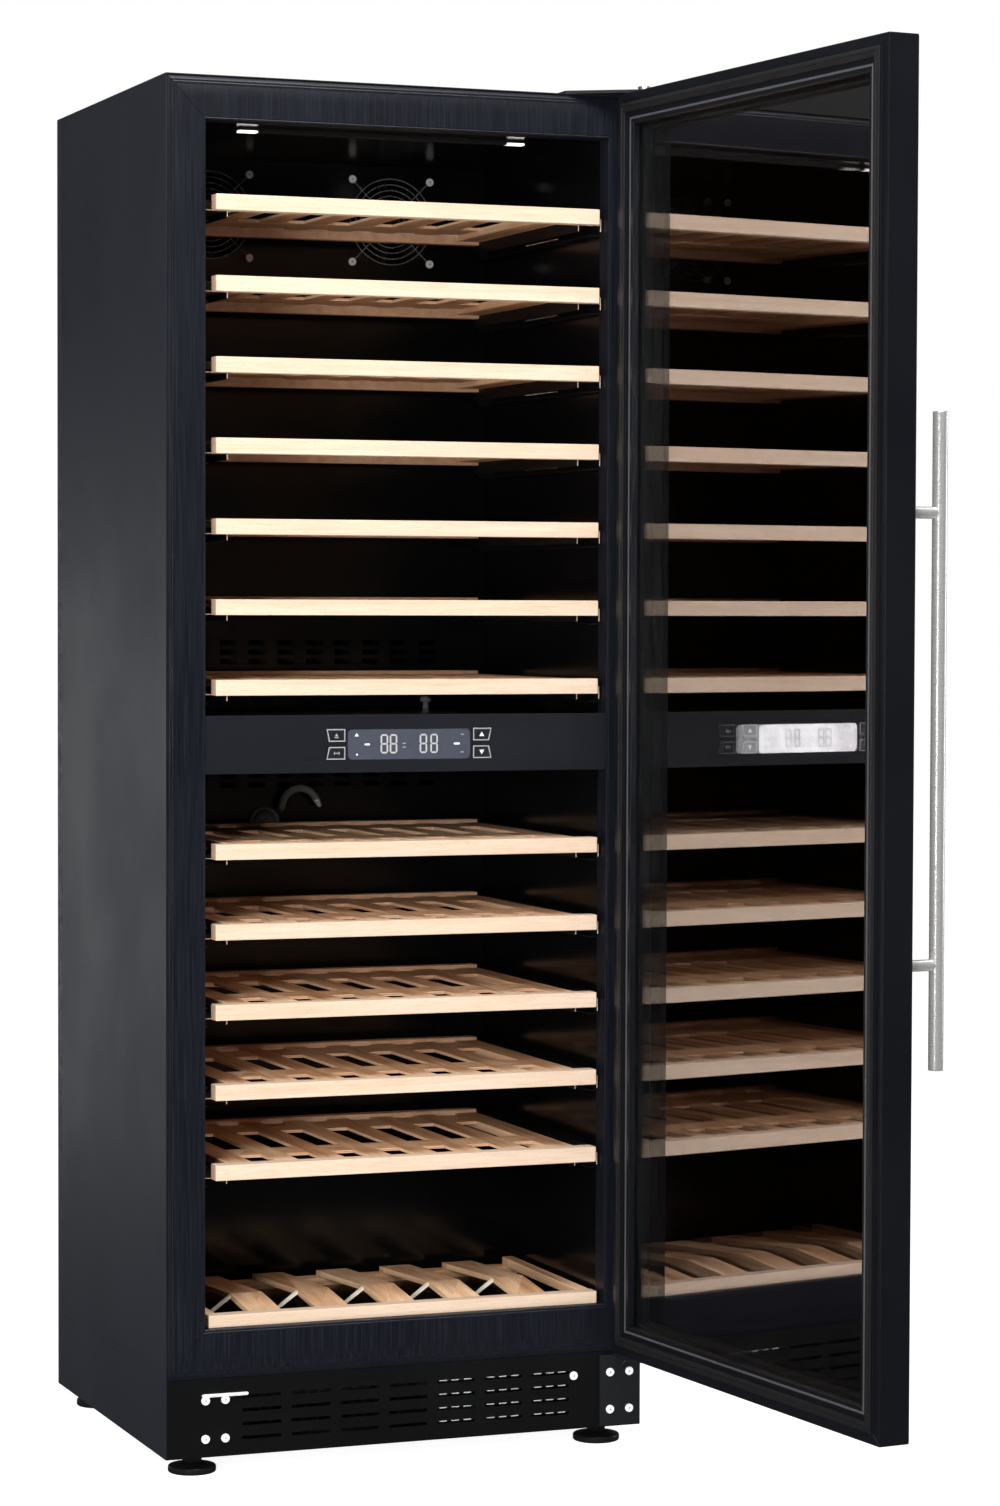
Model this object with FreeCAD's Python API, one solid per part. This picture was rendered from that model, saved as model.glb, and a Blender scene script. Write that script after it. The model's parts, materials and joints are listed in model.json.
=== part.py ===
import FreeCAD, Part
import math
import os

# Two-zone wine cooler, free-standing, right-hinged glass door, millimetres.
# The row frame has its origin at the centre of the base plate's underside: +X to the hinge side,
# -Y towards the user and +Z up. Everything below is laid out from the cabinet's front plane
# (y = 0 there, y growing to the back), and save() shifts it back by half of the depth.

# ---- cabinet ----
BODY_W = 655.0
BODY_D = 535.0
BODY_H = 1756.0
SKIN = 1.0
HALF_W = BODY_W / 2
INNER_X = HALF_W - SKIN
REAR_FLANGE = 23.0
BACK_Y = BODY_D - SKIN
BASE_T = 1.5
KICK_H = 100.0
KICK_T = 2.0

# ---- front frame and the opening it leaves ----
OPEN_X = 275.0
OPEN_BOTTOM = 164.0
OPEN_TOP = 1700.0
FRAME_FACE_T = 3.0
FRAME_LIP = 3.0
FRAME_DEPTH = 30.0

# ---- inner liners, one per zone ----
LINER_X = 277.0
LINER_T = 1.5
LINER_BACK = 500.0
CEILING_Z = 1705.0
UPPER_FLOOR_Z = 943.0
LOWER_CEILING_Z = 877.0
FLOOR_Z = 158.0
STEP_Y = 350.0
STEP_Z = 340.0
FOAM_UNDER = 121.0
BAY_FRONT = 385.0
BAY_TOP = 304.0
DUCT_Y = 455.0
DUCT_T = 1.5
DUCT_X = LINER_X - 0.5

# ---- control fascia ----
FASCIA_BOTTOM = 873.0
FASCIA_TOP = 947.0
FASCIA_Y = 2.0
FASCIA_T = 3.0
FASCIA_DEPTH = 14.0
FASCIA_WALL = 2.0
WINDOW_W = 168.0
WINDOW_H = 39.0
WINDOW_Z = 909.0
WINDOW_T = 2.4
WINDOW_CORNER_R = 6.0
WINDOW_LEDGE = 2.0
KEY_W = 27.0
KEY_H = 17.0
KEY_X = 101.0
KEY_ROWS = {"top": 921.0, "bottom": 898.0}
KEY_PROUD = 0.9
KEY_CLEARANCE = 0.35
KEY_CORNER_R = 3.0
KEY_LEAN = 3.4
KEY_FLANGE = 1.5
KEY_FLANGE_T = 1.2
KEY_TRAVEL_GAP = 0.3

# ---- racks ----
RACK_PITCH = 102.4
UPPER_RACKS = 7
LOWER_RACKS = 5
UPPER_RACK_Z = 992.8
LOWER_RACK_Z = 374.1
RAIL_X = 262.0
RAIL_H = 20.0
RAIL_FRONT = -2.0
RAIL_BACK = 20.0
RACK_X = 240.0
RACK_BACK = 405.0
SLATS = 6
SLAT_PITCH = 63.5
SLAT_W = 32.0
SLAT_T = 4.0
SLAT_DROP = 0.5
SIDE_BOARD_T = 11.0
CROSS_BOARDS = ((82.0, 139.0), (294.0, 366.0))
REAR_RAIL_W = 20.0
REAR_RAIL_RISE = 4.0
REAR_RAIL_DROP = 16.0
SLIDE_SHEET = 2.0
CHANNEL_SHEET = 1.5
SLIDE_X = 273.0
CHANNEL_X = 262.5
CHANNEL_H = 26.0
CHANNEL_TOP_DROP = 6.0
SLIDE_H = 18.0
SLIDE_TOP_DROP = 10.0
RUNNER_BACK = 445.0

# ---- display rack on the floor of the lower zone ----
DISPLAY_X = 268.0
DISPLAY_FRONT = 8.0
DISPLAY_BACK = 315.0
DISPLAY_RAIL = 20.0
DISPLAY_TOP = 180.0
DISPLAY_SIDE_W = 16.0
DISPLAY_SIDE_DROP = 1.0
DISPLAY_SLATS = 5
DISPLAY_PITCH = 92.0
DISPLAY_SLAT_W = 44.0
DISPLAY_SLAT_T = 7.0
DISPLAY_SLAT_FRONT_DROP = 3.0
DISPLAY_SLAT_REAR_DROP = 4.0
DISPLAY_RIDGE_Y = 118.0
DISPLAY_RIDGE_Z = 187.0

# ---- door, laid out closed and stored open ----
DOOR_HALF_W = 326.0
DOOR_BOTTOM = 102.0
DOOR_TOP = 1755.0
DOOR_BACK = -6.0
DOOR_T = 42.0
DOOR_FRONT = DOOR_BACK - DOOR_T
DOOR_STILE = 42.0
DOOR_WALL = 4.0
DOOR_CHAMBER_W = 26.0
POCKET_START = 30.0
PANE_INSET = 31.0
PANE_T = 4.0
OUTER_PANE_Y = -40.0
INNER_PANE_Y = -20.0
SPACER_INSET = 36.0
SPACER_W = 11.0
GASKET_INSET = 14.0
GASKET_W = 12.0
GASKET_GAP = 0.6
HINGE_X = 309.5
HINGE_Y = -36.0
HINGE_PIN_R = 4.0
HINGE_FIT = 0.08
DOOR_REST_ANGLE = 96.0

# ---- handle ----
HANDLE_R = 9.0
HANDLE_X = -305.0
HANDLE_REACH = 46.5
HANDLE_BOTTOM = 540.0
HANDLE_TOP = 1319.0
STANDOFF_R = 7.0
STANDOFF_Z = (665.5, 1199.5)
STANDOFF_FLANGE_R = 9.0

# ---- feet ----
FOOT_H = 25.0
FOOT_R = 31.0
FOOT_PAD_H = 9.0
FOOT_X = 281.0
FOOT_FRONT_Y = 40.0
FOOT_REAR_Y = 490.0
STEM_R = 5.0
STEM_FIT = 0.08
BOSS_R = 11.0
BOSS_H = 20.0
FOOT_CONE_H = 4.0
FOOT_NUT_R = 13.0
FOOT_NUT_H = 6.0

# ---- fans ----
FAN_SIZE = 130.0
FAN_T = 25.0
FAN_BORE_R = 60.0
FAN_HUB_R = 20.0
FAN_BLADES = 7
FAN_BLADE_R = 57.5
FAN_SCREW = 57.5
FAN_BLADE_T = 1.6
FAN_BLADE_W = 22.0
FAN_BLADE_PITCH = 55.0
FAN_SHAFT_R = 2.0
FAN_SHAFT_FIT = 0.1
FAN_STRUT_W = 6.0
FAN_STATOR_R = 16.0
FAN_UPPER_X = 133.0
FAN_UPPER_Z = 1626.0
FAN_LOWER_Z = 600.0
FAN_CONDENSER = (-90.0, 396.0, 80.0)
GUARD_WIRE_R = 0.9
GUARD_RING_STEP = 0.5
GUARD_RINGS = (12.0, 20.0, 28.0, 36.0, 44.0, 52.0, 60.0)
GUARD_EYE_R = 4.0

# ---- kick plate slots ----
KICK_COLUMNS = 7
KICK_ROWS = 4
KICK_SLOT_W = 53.0
KICK_SLOT_H = 4.6
KICK_COLUMN_PITCH = 66.5
KICK_ROW_PITCH = 17.8
KICK_ROW_FIRST = 22.0

# ---- vent slots in the duct covers ----
VENT_COLUMNS = 10
VENT_ROWS = 3
VENT_W = 24.0
VENT_H = 7.0
VENT_COLUMN_PITCH = 42.0
VENT_ROW_PITCH = 13.0
VENT_CORNER_R = 2.5
UPPER_VENT_Z = 1009.0
LOWER_VENT_Z = 352.0
LOWER_TOP_VENT_DROP = 40.0

# ---- vent slots in the rear panel ----
BACK_VENT_COLUMNS = 5
BACK_VENT_ROWS = 8
BACK_VENT_W = 50.0
BACK_VENT_H = 7.0
BACK_VENT_FIRST = (-60.0, 60.0)
BACK_VENT_PITCH = (66.0, 26.0)

# ---- cooling ----
EVAPORATOR_HALF_W = 110.0
EVAPORATOR_Y = (460.0, 496.0)
UPPER_EVAPORATOR_Z = (1200.0, 1400.0)
LOWER_EVAPORATOR_Z = (385.0, 525.0)
EVAPORATOR_FINS = 16
CONDENSER_HALF_W = 232.0
CONDENSER_Y = (60.0, 150.0)
CONDENSER_Z = (12.0, 108.0)
CONDENSER_FINS = 30
FIN_T = 1.0
TUBE_R = 4.0
TUBE_OVERHANG = 6.0
COMPRESSOR_X = 170.0
COMPRESSOR_Y = 456.0
COMPRESSOR_Z = 26.0
COMPRESSOR_R = 64.0
COMPRESSOR_H = 150.0
COMPRESSOR_DOME_R = 30.0
COMPRESSOR_PLATE = (180.0, 120.0, 3.0)
GROMMET_R = 9.0

# ---- lamps ----
LAMP_HALF_W = 198.0
LAMP_Y = (106.0, 118.0)
LAMP_H = 6.0

# ---- mains inlet ----
INLET_X = -230.0
INLET_Z = 70.0
INLET_W = 47.0
INLET_H = 27.0
INLET_FLANGE_T = 2.5
INLET_DEPTH = 24.0
INLET_RECESS = 17.0

# ---- fasteners ----
SCREW_HEAD_R = 5.6
SCREW_HEAD_H = 2.6
SCREW_HEAD_ROUND = 1.4
SCREW_R = 2.2
SCREW_LEN = 5.0
SCREW_FIT = 0.1
BRACKET_SCREW_X = (283.0, 310.5)
SPARE_SCREW_X = (-275.0, -248.5)
PLATE_SCREW_Z = (23.5, 73.0)
KICK_SCREW = (232.0, 71.0)
TOP_SCREW_X = (236.0, 290.0)
TOP_SCREW_Y = 34.0

# ---- hinge brackets ----
TOP_BRACKET_T = 4.0
TOP_STRAP = (214.0, 326.5, 2.0, 62.0)
TOP_PIN_DROP = 18.0
TOP_PIN_HEAD_R = 8.0
TOP_PIN_HEAD_H = 5.0
PLATE_T = 3.0
PLATE_X = (269.0, 325.0)
PLATE_Z = (2.0, 96.0)
ARM_HALF_W = 15.5
ARM_T = 4.0
COLLAR_R = 9.0
BOTTOM_PIN_H = 20.0


def vec(x, y, z):
    return FreeCAD.Vector(x, y, z)


def block(x0, x1, y0, y1, z0, z1):
    return Part.makeBox(x1 - x0, y1 - y0, z1 - z0, vec(x0, y0, z0))


def rod(x, y, z, radius, length, direction):
    return Part.makeCylinder(radius, length, vec(x, y, z), direction)


def rod_x(x, y, z, radius, length):
    return rod(x, y, z, radius, length, vec(1, 0, 0))


def rod_y(x, y, z, radius, length):
    return rod(x, y, z, radius, length, vec(0, 1, 0))


def rod_z(x, y, z, radius, length):
    return rod(x, y, z, radius, length, vec(0, 0, 1))


def fused(shapes):
    result = shapes[0].multiFuse(shapes[1:]) if len(shapes) > 1 else shapes[0]
    return result.removeSplitter()


def cut(shape, tools):
    return shape.cut(Part.makeCompound(tools)) if tools else shape


def group(solids):
    """Separate solids kept in one node."""
    return Part.makeCompound(solids)


def moved(shape, x, y, z):
    copy = shape.copy()
    copy.translate(vec(x, y, z))
    return copy


def mirrored(shape):
    """The same piece on the other side of the cabinet."""
    return shape.mirror(vec(0, 0, 0), vec(1, 0, 0))


def plate_y(outline, y0, thickness):
    """A flat plate from (x, z) corners, standing in an X-Z plane."""
    points = [vec(x, y0, z) for x, z in outline]
    face = Part.Face(Part.makePolygon(points + points[:1]))
    return face.extrude(vec(0, thickness, 0))


def rounded_y(bar, radius):
    """Round the edges that run along Y."""
    corners = [e for e in bar.Edges if abs(e.tangentAt(e.FirstParameter).y) > 0.99]
    return bar.makeFillet(radius, corners)


def rounded_bar_y(cx, cz, width, height, radius, y0, depth):
    """A rounded rectangle in X-Z, carried along Y."""
    bar = block(cx - width / 2, cx + width / 2, y0, y0 + depth, cz - height / 2, cz + height / 2)
    return rounded_y(bar, radius)


def mitred_ring(outer, widths, y0, depth):
    """Four mitred strips: left, right, bottom and top of a rectangular ring in X-Z.

    outer is (x0, x1, z0, z1) and widths gives (side, bottom, top) strip widths.
    """
    x0, x1, z0, z1 = outer
    side, bottom, top = widths
    ix0, ix1, iz0, iz1 = x0 + side, x1 - side, z0 + bottom, z1 - top
    outlines = {
        "left": [(x0, z0), (ix0, iz0), (ix0, iz1), (x0, z1)],
        "right": [(x1, z0), (x1, z1), (ix1, iz1), (ix1, iz0)],
        "bottom": [(x0, z0), (x1, z0), (ix1, iz0), (ix0, iz0)],
        "top": [(x0, z1), (ix0, iz1), (ix1, iz1), (x1, z1)],
    }
    return {name: plate_y(points, y0, depth) for name, points in outlines.items()}


def inset_ring(outer, inset, width, y0, depth):
    """An even mitred ring that starts inset from an outer rectangle."""
    x0, x1, z0, z1 = outer
    inner = (x0 + inset, x1 - inset, z0 + inset, z1 - inset)
    return mitred_ring(inner, (width, width, width), y0, depth)


def save(name, shape):
    placed = moved(shape, 0, -BODY_D / 2, 0)
    placed.exportStep("parts/%s.step" % name)
    print("%-22s %2d solid(s) %12.0f mm3" % (name, len(placed.Solids), placed.Volume))


# ---------------------------------------------------------------- cabinet shell

def side_panel():
    """The painted sheet on the hinge side, in front of the rear panel's flange."""
    return block(INNER_X, HALF_W, 0, BODY_D - REAR_FLANGE, 0, BODY_H)


def top_panel():
    sheet = block(-INNER_X, INNER_X, 0, BACK_Y, BODY_H - SKIN, BODY_H)
    holes = [rod_z(x, TOP_SCREW_Y, BODY_H - 2 * SKIN, SCREW_R + SCREW_FIT, 4 * SKIN) for x in TOP_SCREW_X]
    return cut(sheet, holes)


def rear_panel():
    """A tray: the back sheet with a flange along each side, vents low down and the mains cut-out."""
    back = block(-HALF_W, HALF_W, BACK_Y, BODY_D, 0, BODY_H)
    flange = block(INNER_X, HALF_W, BODY_D - REAR_FLANGE, BACK_Y, 0, BODY_H)
    flanges = [flange, mirrored(flange)]
    tray = fused([back] + flanges)
    vents = []
    for column in range(BACK_VENT_COLUMNS):
        for row in range(BACK_VENT_ROWS):
            x = BACK_VENT_FIRST[0] + column * BACK_VENT_PITCH[0]
            z = BACK_VENT_FIRST[1] + row * BACK_VENT_PITCH[1]
            vents.append(rounded_bar_y(x, z, BACK_VENT_W, BACK_VENT_H, 3, BACK_Y - 1, 4))
    vents.append(inlet_opening())
    return cut(tray, vents)


def base_plate():
    """The bottom sheet with a threaded boss over each foot."""
    sheet = block(-INNER_X, INNER_X, KICK_T, BACK_Y, 0, BASE_T)
    bosses = [rod_z(x, y, BASE_T / 2, BOSS_R, BOSS_H) for x, y in foot_places().values()]
    plate = fused([sheet] + bosses)
    holes = [rod_z(x, y, -1, STEM_R + STEM_FIT, BOSS_H + 4) for x, y in foot_places().values()]
    return cut(plate, holes)


def kick_plate():
    """The grille under the door: columns and rows of slots, and the hinge plates' screw holes."""
    plate = block(-INNER_X, INNER_X, 0, KICK_T, 0, KICK_H)
    openings = []
    for column in range(KICK_COLUMNS):
        x = (column - (KICK_COLUMNS - 1) / 2) * KICK_COLUMN_PITCH
        for row in range(KICK_ROWS):
            z = KICK_ROW_FIRST + row * KICK_ROW_PITCH
            slot = rounded_bar_y(x, z, KICK_SLOT_W, KICK_SLOT_H, KICK_SLOT_H * 0.45, -1, KICK_T + 2)
            openings.append(slot)
    for x, z in plate_screws() + [KICK_SCREW]:
        openings.append(rod_y(x, -1, z, SCREW_R + SCREW_FIT, KICK_T + 2))
    return cut(plate, openings)


def front_frame():
    """The black frame round the opening: four mitred L profiles, welded at the corners."""
    outer = (-INNER_X, INNER_X, KICK_H, BODY_H - SKIN)
    widths = (INNER_X - OPEN_X, OPEN_BOTTOM - KICK_H, BODY_H - SKIN - OPEN_TOP)
    faces = mitred_ring(outer, widths, 0, FRAME_FACE_T)
    lip_outer = (-OPEN_X - FRAME_LIP, OPEN_X + FRAME_LIP, OPEN_BOTTOM - FRAME_LIP, OPEN_TOP + FRAME_LIP)
    lips = mitred_ring(lip_outer, (FRAME_LIP,) * 3, FRAME_FACE_T, FRAME_DEPTH - FRAME_FACE_T)
    return group([fused([faces[name], lips[name]]) for name in faces])


# ---------------------------------------------------------------- liners and insulation

def liner_upper():
    """The upper zone's one-piece liner: a box open to the front."""
    t = LINER_T
    outer = block(-LINER_X - t, LINER_X + t, FRAME_DEPTH, LINER_BACK + t, UPPER_FLOOR_Z - t, CEILING_Z + t)
    inner = block(-LINER_X, LINER_X, FRAME_DEPTH - 1, LINER_BACK, UPPER_FLOOR_Z, CEILING_Z)
    return outer.cut(inner)


def stepped_block(grow, front):
    """The lower zone's space, with the step over the compressor bay, grown by a wall thickness."""
    x = LINER_X + grow
    low = block(-x, x, front, STEP_Y + grow, FLOOR_Z - grow, LOWER_CEILING_Z + grow)
    high = block(-x, x, front, LINER_BACK + grow, STEP_Z - grow, LOWER_CEILING_Z + grow)
    return low.fuse(high).removeSplitter()


def liner_lower():
    return stepped_block(LINER_T, FRAME_DEPTH).cut(stepped_block(0, FRAME_DEPTH - 1))


def insulation_foam():
    """Foam between the sheets and the liners, hollow for both zones and the compressor bay."""
    t = LINER_T
    x = LINER_X + t
    foam = block(-INNER_X, INNER_X, FRAME_DEPTH, BACK_Y, FOAM_UNDER, BODY_H - SKIN)
    upper = block(-x, x, FRAME_DEPTH - 1, LINER_BACK + t, UPPER_FLOOR_Z - t, CEILING_Z + t)
    bay = block(-INNER_X - 1, INNER_X + 1, BAY_FRONT, BACK_Y + 1, FOAM_UNDER - 1, BAY_TOP)
    return cut(foam, [upper]).cut(stepped_block(t, FRAME_DEPTH - 1)).cut(bay)


def vent_slots(first_z):
    """The rows of air slots in a duct cover."""
    slots = []
    for column in range(VENT_COLUMNS):
        x = (column - (VENT_COLUMNS - 1) / 2) * VENT_COLUMN_PITCH
        for row in range(VENT_ROWS):
            z = first_z + row * VENT_ROW_PITCH
            slots.append(rounded_bar_y(x, z, VENT_W, VENT_H, VENT_CORNER_R, DUCT_Y - 1, DUCT_T + 2))
    return slots


def duct_cover_upper():
    """The upper zone's rear wall, with two fan mouths and their guards' screw holes."""
    sheet = block(-DUCT_X, DUCT_X, DUCT_Y, DUCT_Y + DUCT_T, UPPER_FLOOR_Z + 0.5, CEILING_Z - 0.5)
    openings = vent_slots(UPPER_VENT_Z)
    for x in (-FAN_UPPER_X, FAN_UPPER_X):
        openings.append(rod_y(x, DUCT_Y - 1, FAN_UPPER_Z, FAN_BORE_R - 1, DUCT_T + 2))
        for sx, sz in fan_corners(x, FAN_UPPER_Z):
            openings.append(rod_y(sx, DUCT_Y - 1, sz, SCREW_R + SCREW_FIT, DUCT_T + 2))
    return cut(sheet, openings)


def duct_cover_lower():
    """The lower zone's rear wall above the step; its fan draws through the slot rows."""
    sheet = block(-DUCT_X, DUCT_X, DUCT_Y, DUCT_Y + DUCT_T, STEP_Z + 0.5, LOWER_CEILING_Z - 0.5)
    return cut(sheet, vent_slots(LOWER_VENT_Z) + vent_slots(LOWER_CEILING_Z - LOWER_TOP_VENT_DROP))


# ---------------------------------------------------------------- controls

def key_centres():
    """Key name to its (x, z) centre on the fascia."""
    sides = {"left": -KEY_X, "right": KEY_X}
    return {"key_%s_%s" % (side, row): (x, z) for side, x in sides.items() for row, z in KEY_ROWS.items()}


def key_shape(x, z, grow, y0, depth):
    """A key's outline, carried along Y: its outer side leans in towards the other key of the pair."""
    out = 1 if x > 0 else -1
    away = 1 if z > WINDOW_Z else -1
    half_w = KEY_W / 2 + grow
    half_h = KEY_H / 2 + grow
    inner = x - out * half_w
    outer = x + out * half_w
    outline = [(inner, z - away * half_h), (outer - out * KEY_LEAN, z - away * half_h),
               (outer, z + away * half_h), (inner, z + away * half_h)]
    return rounded_y(plate_y(outline, y0, depth), KEY_CORNER_R + grow)


def control_fascia():
    """The panel between the zones: a shallow tray with a window and four key holes."""
    shell = block(-OPEN_X, OPEN_X, FASCIA_Y, FASCIA_Y + FASCIA_DEPTH, FASCIA_BOTTOM, FASCIA_TOP)
    inner_x = OPEN_X - FASCIA_WALL
    hollow = block(-inner_x, inner_x, FASCIA_Y + FASCIA_T, FASCIA_Y + FASCIA_DEPTH + 1,
                   FASCIA_BOTTOM + FASCIA_WALL, FASCIA_TOP - FASCIA_WALL)
    seat = rounded_bar_y(0, WINDOW_Z, WINDOW_W, WINDOW_H, WINDOW_CORNER_R, FASCIA_Y - 1, 1 + WINDOW_T)
    through = rounded_bar_y(0, WINDOW_Z, WINDOW_W - 2 * WINDOW_LEDGE, WINDOW_H - 2 * WINDOW_LEDGE,
                            WINDOW_CORNER_R - WINDOW_LEDGE, FASCIA_Y - 1, FASCIA_T + 3)
    openings = [hollow, seat, through]
    for x, z in key_centres().values():
        openings.append(key_shape(x, z, KEY_CLEARANCE, FASCIA_Y - 1, FASCIA_T + 2))
    return cut(shell, openings)


def display_window():
    """The smoked lens over the two temperature read-outs."""
    gap = 0.1
    return rounded_bar_y(0, WINDOW_Z, WINDOW_W - 2 * gap, WINDOW_H - 2 * gap, WINDOW_CORNER_R - gap,
                         FASCIA_Y, WINDOW_T)


def key_cap(x, z):
    """A push key: its face stands proud of the fascia and a flange behind keeps it in."""
    face_y = FASCIA_Y - KEY_PROUD
    cap = key_shape(x, z, 0, face_y, FASCIA_T + KEY_PROUD + 1)
    flange_y = FASCIA_Y + FASCIA_T + KEY_TRAVEL_GAP
    flange = key_shape(x, z, KEY_FLANGE, flange_y, KEY_FLANGE_T)
    return fused([cap, flange])


# ---------------------------------------------------------------- racks

def rack_tops():
    """Rack name to its top height, counted from the top of the cabinet."""
    heights = [LOWER_RACK_Z + i * RACK_PITCH for i in range(LOWER_RACKS)]
    heights += [UPPER_RACK_Z + i * RACK_PITCH for i in range(UPPER_RACKS)]
    return {"rack_%02d" % (i + 1): z for i, z in enumerate(reversed(heights))}


def rack_slide(top):
    """The moving member of a rack's slide: a web on the rack, an arm and a running strip."""
    z1 = top - SLIDE_TOP_DROP
    z0 = z1 - SLIDE_H
    middle = (z0 + z1) / 2
    t = SLIDE_SHEET
    web = block(RACK_X, RACK_X + t, RAIL_BACK, RACK_BACK, z0, z1)
    arm = block(RACK_X, SLIDE_X, RAIL_BACK, RACK_BACK, middle - t / 2, middle + t / 2)
    strip = block(SLIDE_X - t, SLIDE_X, RAIL_BACK, RACK_BACK, z0, z1)
    return fused([web, arm, strip])


def lattice(side_inner, z0, z1):
    """Thin slats and two cross boards of one thickness, half-lapped where they cross."""
    half = (z0 + z1) / 2
    rear_y = RACK_BACK - REAR_RAIL_W
    places = [(i - (SLATS - 1) / 2) * SLAT_PITCH for i in range(SLATS)]
    slats = []
    boards = [block(-side_inner, side_inner, y0, y1, z0, z1) for y0, y1 in CROSS_BOARDS]
    for x in places:
        slat = block(x - SLAT_W / 2, x + SLAT_W / 2, RAIL_BACK, rear_y, z0, z1)
        for y0, y1 in CROSS_BOARDS:
            slat = slat.cut(block(x - SLAT_W, x + SLAT_W, y0, y1, z0 - 1, half))
        slats.append(slat)
        slot = block(x - SLAT_W / 2, x + SLAT_W / 2, RAIL_BACK, rear_y, half, z1 + 1)
        boards = [board.cut(slot) for board in boards]
    return slats + boards


def rack(top):
    """A sliding wooden rack: rails, side boards, a lattice of thin boards, and two slide members."""
    z1 = top - SLAT_DROP
    rear_y = RACK_BACK - REAR_RAIL_W
    front = block(-RAIL_X, RAIL_X, RAIL_FRONT, RAIL_BACK, top - RAIL_H, top)
    rear = block(-RACK_X, RACK_X, rear_y, RACK_BACK, top - REAR_RAIL_DROP, top + REAR_RAIL_RISE)
    side_inner = SLATS / 2 * SLAT_PITCH + (SLAT_PITCH - SLAT_W) / 2
    side = block(side_inner, RACK_X, RAIL_BACK, rear_y, z1 - SIDE_BOARD_T, z1)
    solids = [front, rear, side, mirrored(side)] + lattice(side_inner, z1 - SLAT_T, z1)
    slide = rack_slide(top)
    solids += [slide, mirrored(slide)]
    return group(solids)


def rack_runners():
    """The fixed C channels on the liner's side walls, a pair for each rack."""
    channels = []
    t = CHANNEL_SHEET
    for top in rack_tops().values():
        z1 = top - CHANNEL_TOP_DROP
        z0 = z1 - CHANNEL_H
        outer = block(CHANNEL_X, LINER_X, FRAME_DEPTH, RUNNER_BACK, z0, z1)
        inner = block(CHANNEL_X - 1, LINER_X - t, FRAME_DEPTH - 1, RUNNER_BACK - t, z0 + t, z1 - t)
        channel = outer.cut(inner)
        channels += [channel, mirrored(channel)]
    return group(channels)


def display_slat(x):
    """A thin slat that climbs from the front rail to a ridge and falls to its end on the rear rail."""
    t = DISPLAY_SLAT_T
    y0 = DISPLAY_FRONT + DISPLAY_RAIL
    rail_y = DISPLAY_BACK - DISPLAY_RAIL
    front_top = DISPLAY_TOP - DISPLAY_SLAT_FRONT_DROP
    rear_top = DISPLAY_TOP - DISPLAY_SLAT_REAR_DROP
    ridge = DISPLAY_RIDGE_Z
    outline = [(y0, front_top - t), (DISPLAY_RIDGE_Y, ridge - t),
               (rail_y, rear_top - t), (DISPLAY_BACK, rear_top - t),
               (DISPLAY_BACK, rear_top), (DISPLAY_RIDGE_Y, ridge), (y0, front_top)]
    points = [vec(x - DISPLAY_SLAT_W / 2, y, z) for y, z in outline]
    face = Part.Face(Part.makePolygon(points + points[:1]))
    return face.extrude(vec(DISPLAY_SLAT_W, 0, 0))


def display_rack():
    """The loose rack at the bottom: a frame on the front lip and floor, with raised slats."""
    y0 = DISPLAY_FRONT + DISPLAY_RAIL
    side_x = DISPLAY_X - DISPLAY_SIDE_W
    rear_y = DISPLAY_BACK - DISPLAY_RAIL
    front = block(-DISPLAY_X, DISPLAY_X, DISPLAY_FRONT, y0, OPEN_BOTTOM, DISPLAY_TOP)
    side_bottom = OPEN_BOTTOM + 3
    rear_top = DISPLAY_TOP - DISPLAY_SLAT_REAR_DROP - DISPLAY_SLAT_T
    rear = block(-side_x, side_x, rear_y, DISPLAY_BACK, FLOOR_Z, rear_top)
    side = block(side_x, DISPLAY_X, y0, DISPLAY_BACK, side_bottom, DISPLAY_TOP - DISPLAY_SIDE_DROP)
    foot = block(side_x, DISPLAY_X, rear_y, DISPLAY_BACK, FLOOR_Z, side_bottom)
    solids = [front, rear, side, mirrored(side), foot, mirrored(foot)]
    middle = (DISPLAY_SLATS - 1) / 2
    solids += [display_slat((i - middle) * DISPLAY_PITCH) for i in range(DISPLAY_SLATS)]
    return group(solids)


# ---------------------------------------------------------------- fans, cooling and lamps

def fan_places():
    """Rotor name to the centre of its frame's front face."""
    duct_y = DUCT_Y + DUCT_T
    return {
        "fan_rotor_upper_left": (-FAN_UPPER_X, duct_y, FAN_UPPER_Z),
        "fan_rotor_upper_right": (FAN_UPPER_X, duct_y, FAN_UPPER_Z),
        "fan_rotor_lower": (0.0, duct_y, FAN_LOWER_Z),
        "fan_rotor_condenser": FAN_CONDENSER,
    }


def fan_corners(x, z):
    return [(x + sx * FAN_SCREW, z + sz * FAN_SCREW) for sx in (-1, 1) for sz in (-1, 1)]


def fan_frame(x, y, z):
    """A square fan housing with a stator on four struts at its back."""
    half = FAN_SIZE / 2
    housing = block(x - half, x + half, y, y + FAN_T, z - half, z + half)
    holes = [rod_y(x, y - 1, z, FAN_BORE_R, FAN_T + 2)]
    holes += [rod_y(sx, y - 1, sz, SCREW_R + SCREW_FIT, FAN_T + 2) for sx, sz in fan_corners(x, z)]
    housing = cut(housing, holes)
    back = y + FAN_T - 4
    reach = FAN_BORE_R + 1
    w = FAN_STRUT_W / 2
    struts = [block(x - reach, x + reach, back, back + 3, z - w, z + w),
              block(x - w, x + w, back, back + 3, z - reach, z + reach)]
    stator = rod_y(x, back - 3, z, FAN_STATOR_R, 7)
    bearing = rod_y(x, back - 4, z, FAN_SHAFT_R + FAN_SHAFT_FIT, 9)
    return fused([housing, stator] + struts).cut(bearing)


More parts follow.
